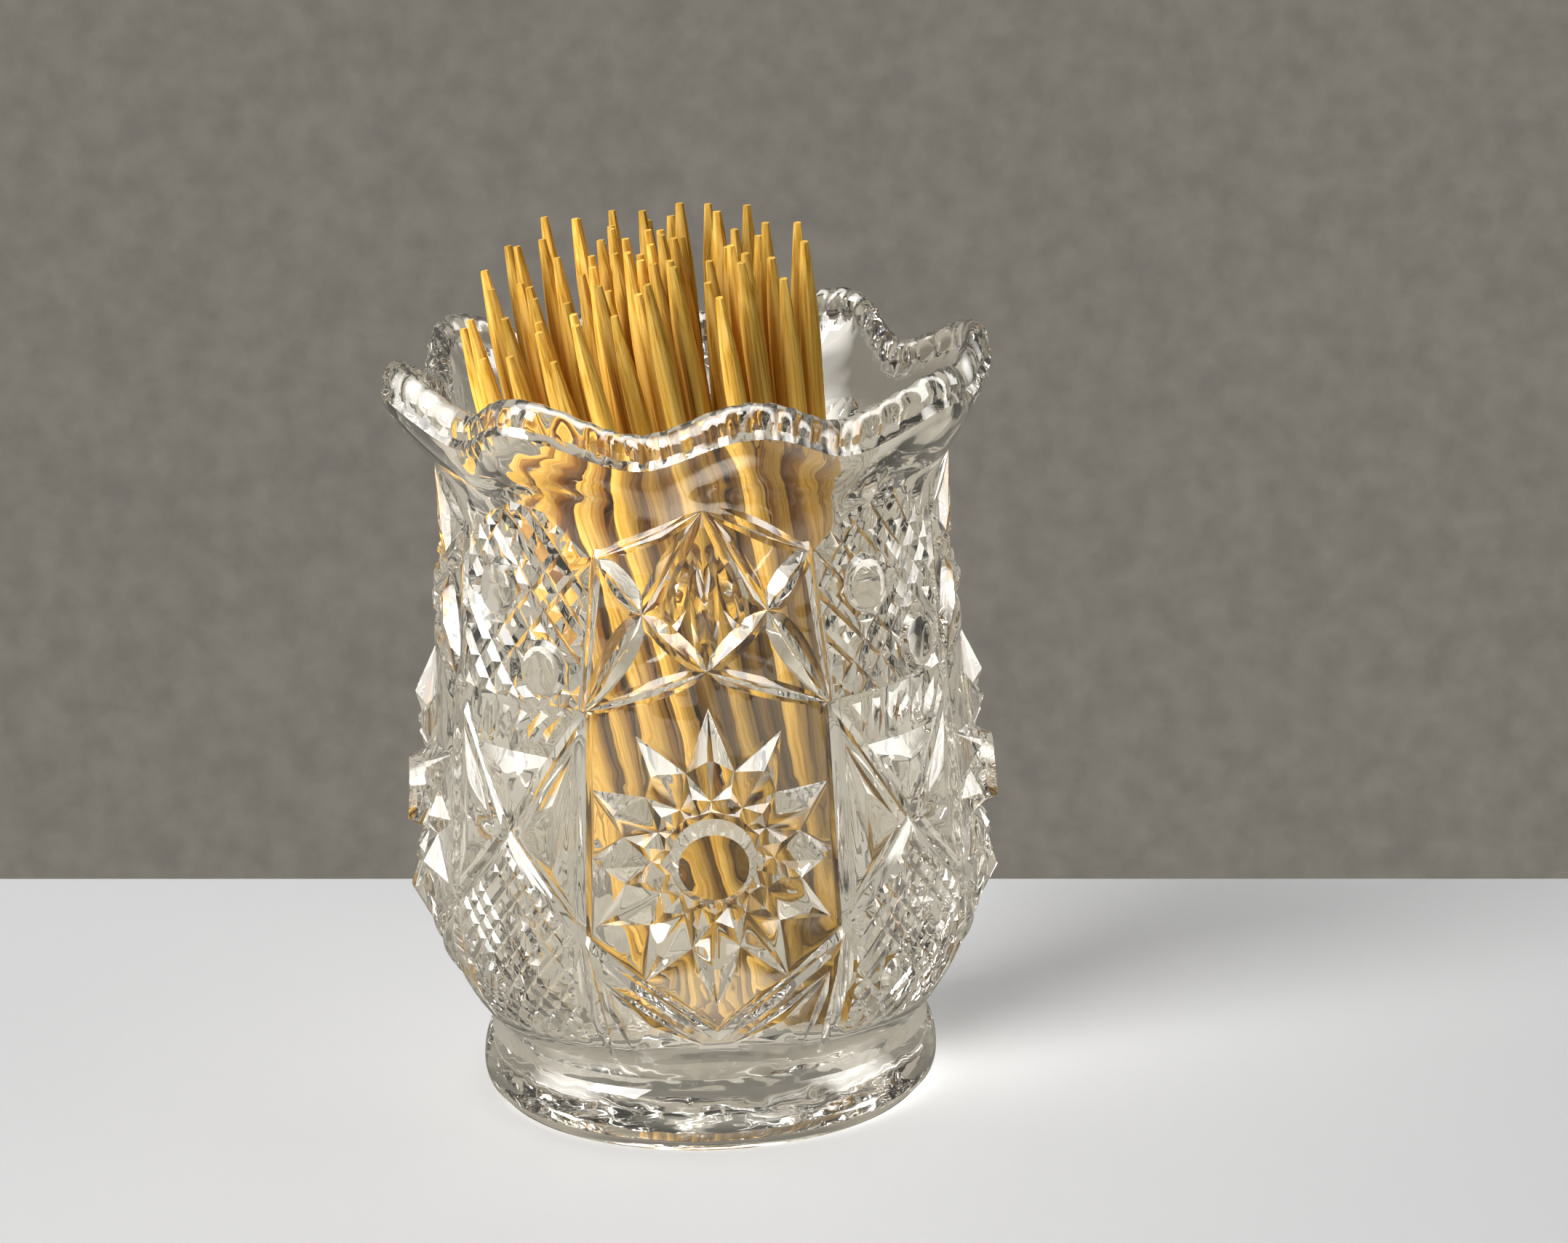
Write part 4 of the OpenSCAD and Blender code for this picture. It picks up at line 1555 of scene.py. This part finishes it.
    def add_world(self) -> None:
        """Light the room evenly, show a grey wall behind the table, and add a painted reflection of bright
        screens for mirrored rays.
        """
        world = bpy.data.worlds.new("studio")
        world.use_nodes = True
        bpy.context.scene.world = world
        wiring = Wiring(world.node_tree)
        way = wiring.add("TexCoord", {}).outputs["Generated"]
        toward = wiring.add("SeparateXYZ", {"Vector": way}).outputs["Y"]
        seen = wiring.add("LightPath", {}).outputs
        front = wiring.scaled(toward, *self.camera_side_ways)
        room = wiring.blend("MIX", front, (*self.behind_camera, 1), (*self.room, 1))
        speckle = wiring.scaled(wiring.noise(way, *self.speckle), *NOISE_SPAN, *self.speckle_tones)
        grey = wiring.blend("MULTIPLY", 1.0, (*self.backdrop, 1), speckle)
        behind = wiring.scaled(toward, *self.wall_ways)
        wall_share = wiring.math("MAXIMUM", behind, seen["Is Camera Ray"])
        wall = wiring.blend("MIX", wall_share, room, grey)
        looked = wiring.math("MAXIMUM", seen["Is Camera Ray"], seen["Is Glossy Ray"])
        looked = wiring.math("MAXIMUM", looked, seen["Is Transmission Ray"])
        shown = wiring.blend("MIX", looked, (*self.fill, 1), wall)
        # painted reflection: bright screens beside the camera, added for mirrored rays alone
        colour = wiring.blend("ADD", 1.0, shown, self.painted_tent_reflection(wiring, toward))
        wiring.feed(world.node_tree.nodes["Background"], {"Color": colour})

    def painted_tent_reflection(self, wiring: Wiring, toward: bpy.types.NodeSocket) -> bpy.types.NodeSocket:
        """A painted reflection of bright screens on both sides of the camera, which only mirrored rays see.

        Args:
            wiring: The world's wiring.
            toward: A ray's way past the holder, from -1 to 1.

        Returns:
            The colour that they add.
        """
        rise = wiring.scaled(toward, *self.tent_start, 0.0, self.painted_tent)
        fall = wiring.scaled(toward, *self.tent_end, 1.0, 0.0)
        level = wiring.math("MULTIPLY", wiring.math("MULTIPLY", rise, fall), wiring.mirrored())
        return wiring.blend("MULTIPLY", 1.0, (*self.painted_tent_tint, 1), level)

    def build(self) -> None:
        """Set up the whole studio."""
        self.add_camera()
        self.add_table()
        self.add_world()
        for lamp in self.lamps:
            self.add_light(lamp)


def main() -> None:
    """Build the studio, the cup and the toothpicks, and log each piece."""
    logging.basicConfig(level=logging.INFO, format="%(message)s")
    scene = bpy.context.scene
    scene.view_settings.view_transform = "Standard"
    Studio().build()
    cup = GlassCup(Profile()).build()
    cup.data.materials.append(GlassFinish().material())
    cup.visible_shadow = False
    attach(cup, "glass_holder")
    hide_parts("glass_holder")
    LOG.info("cup: %d triangles", sum(len(p.vertices) - 2 for p in cup.data.polygons))
    for piece in Toothpicks().build(WoodFinish().material()):
        LOG.info("%s: %d faces", piece.name, len(piece.data.polygons))


if __name__ == "__main__":
    main()
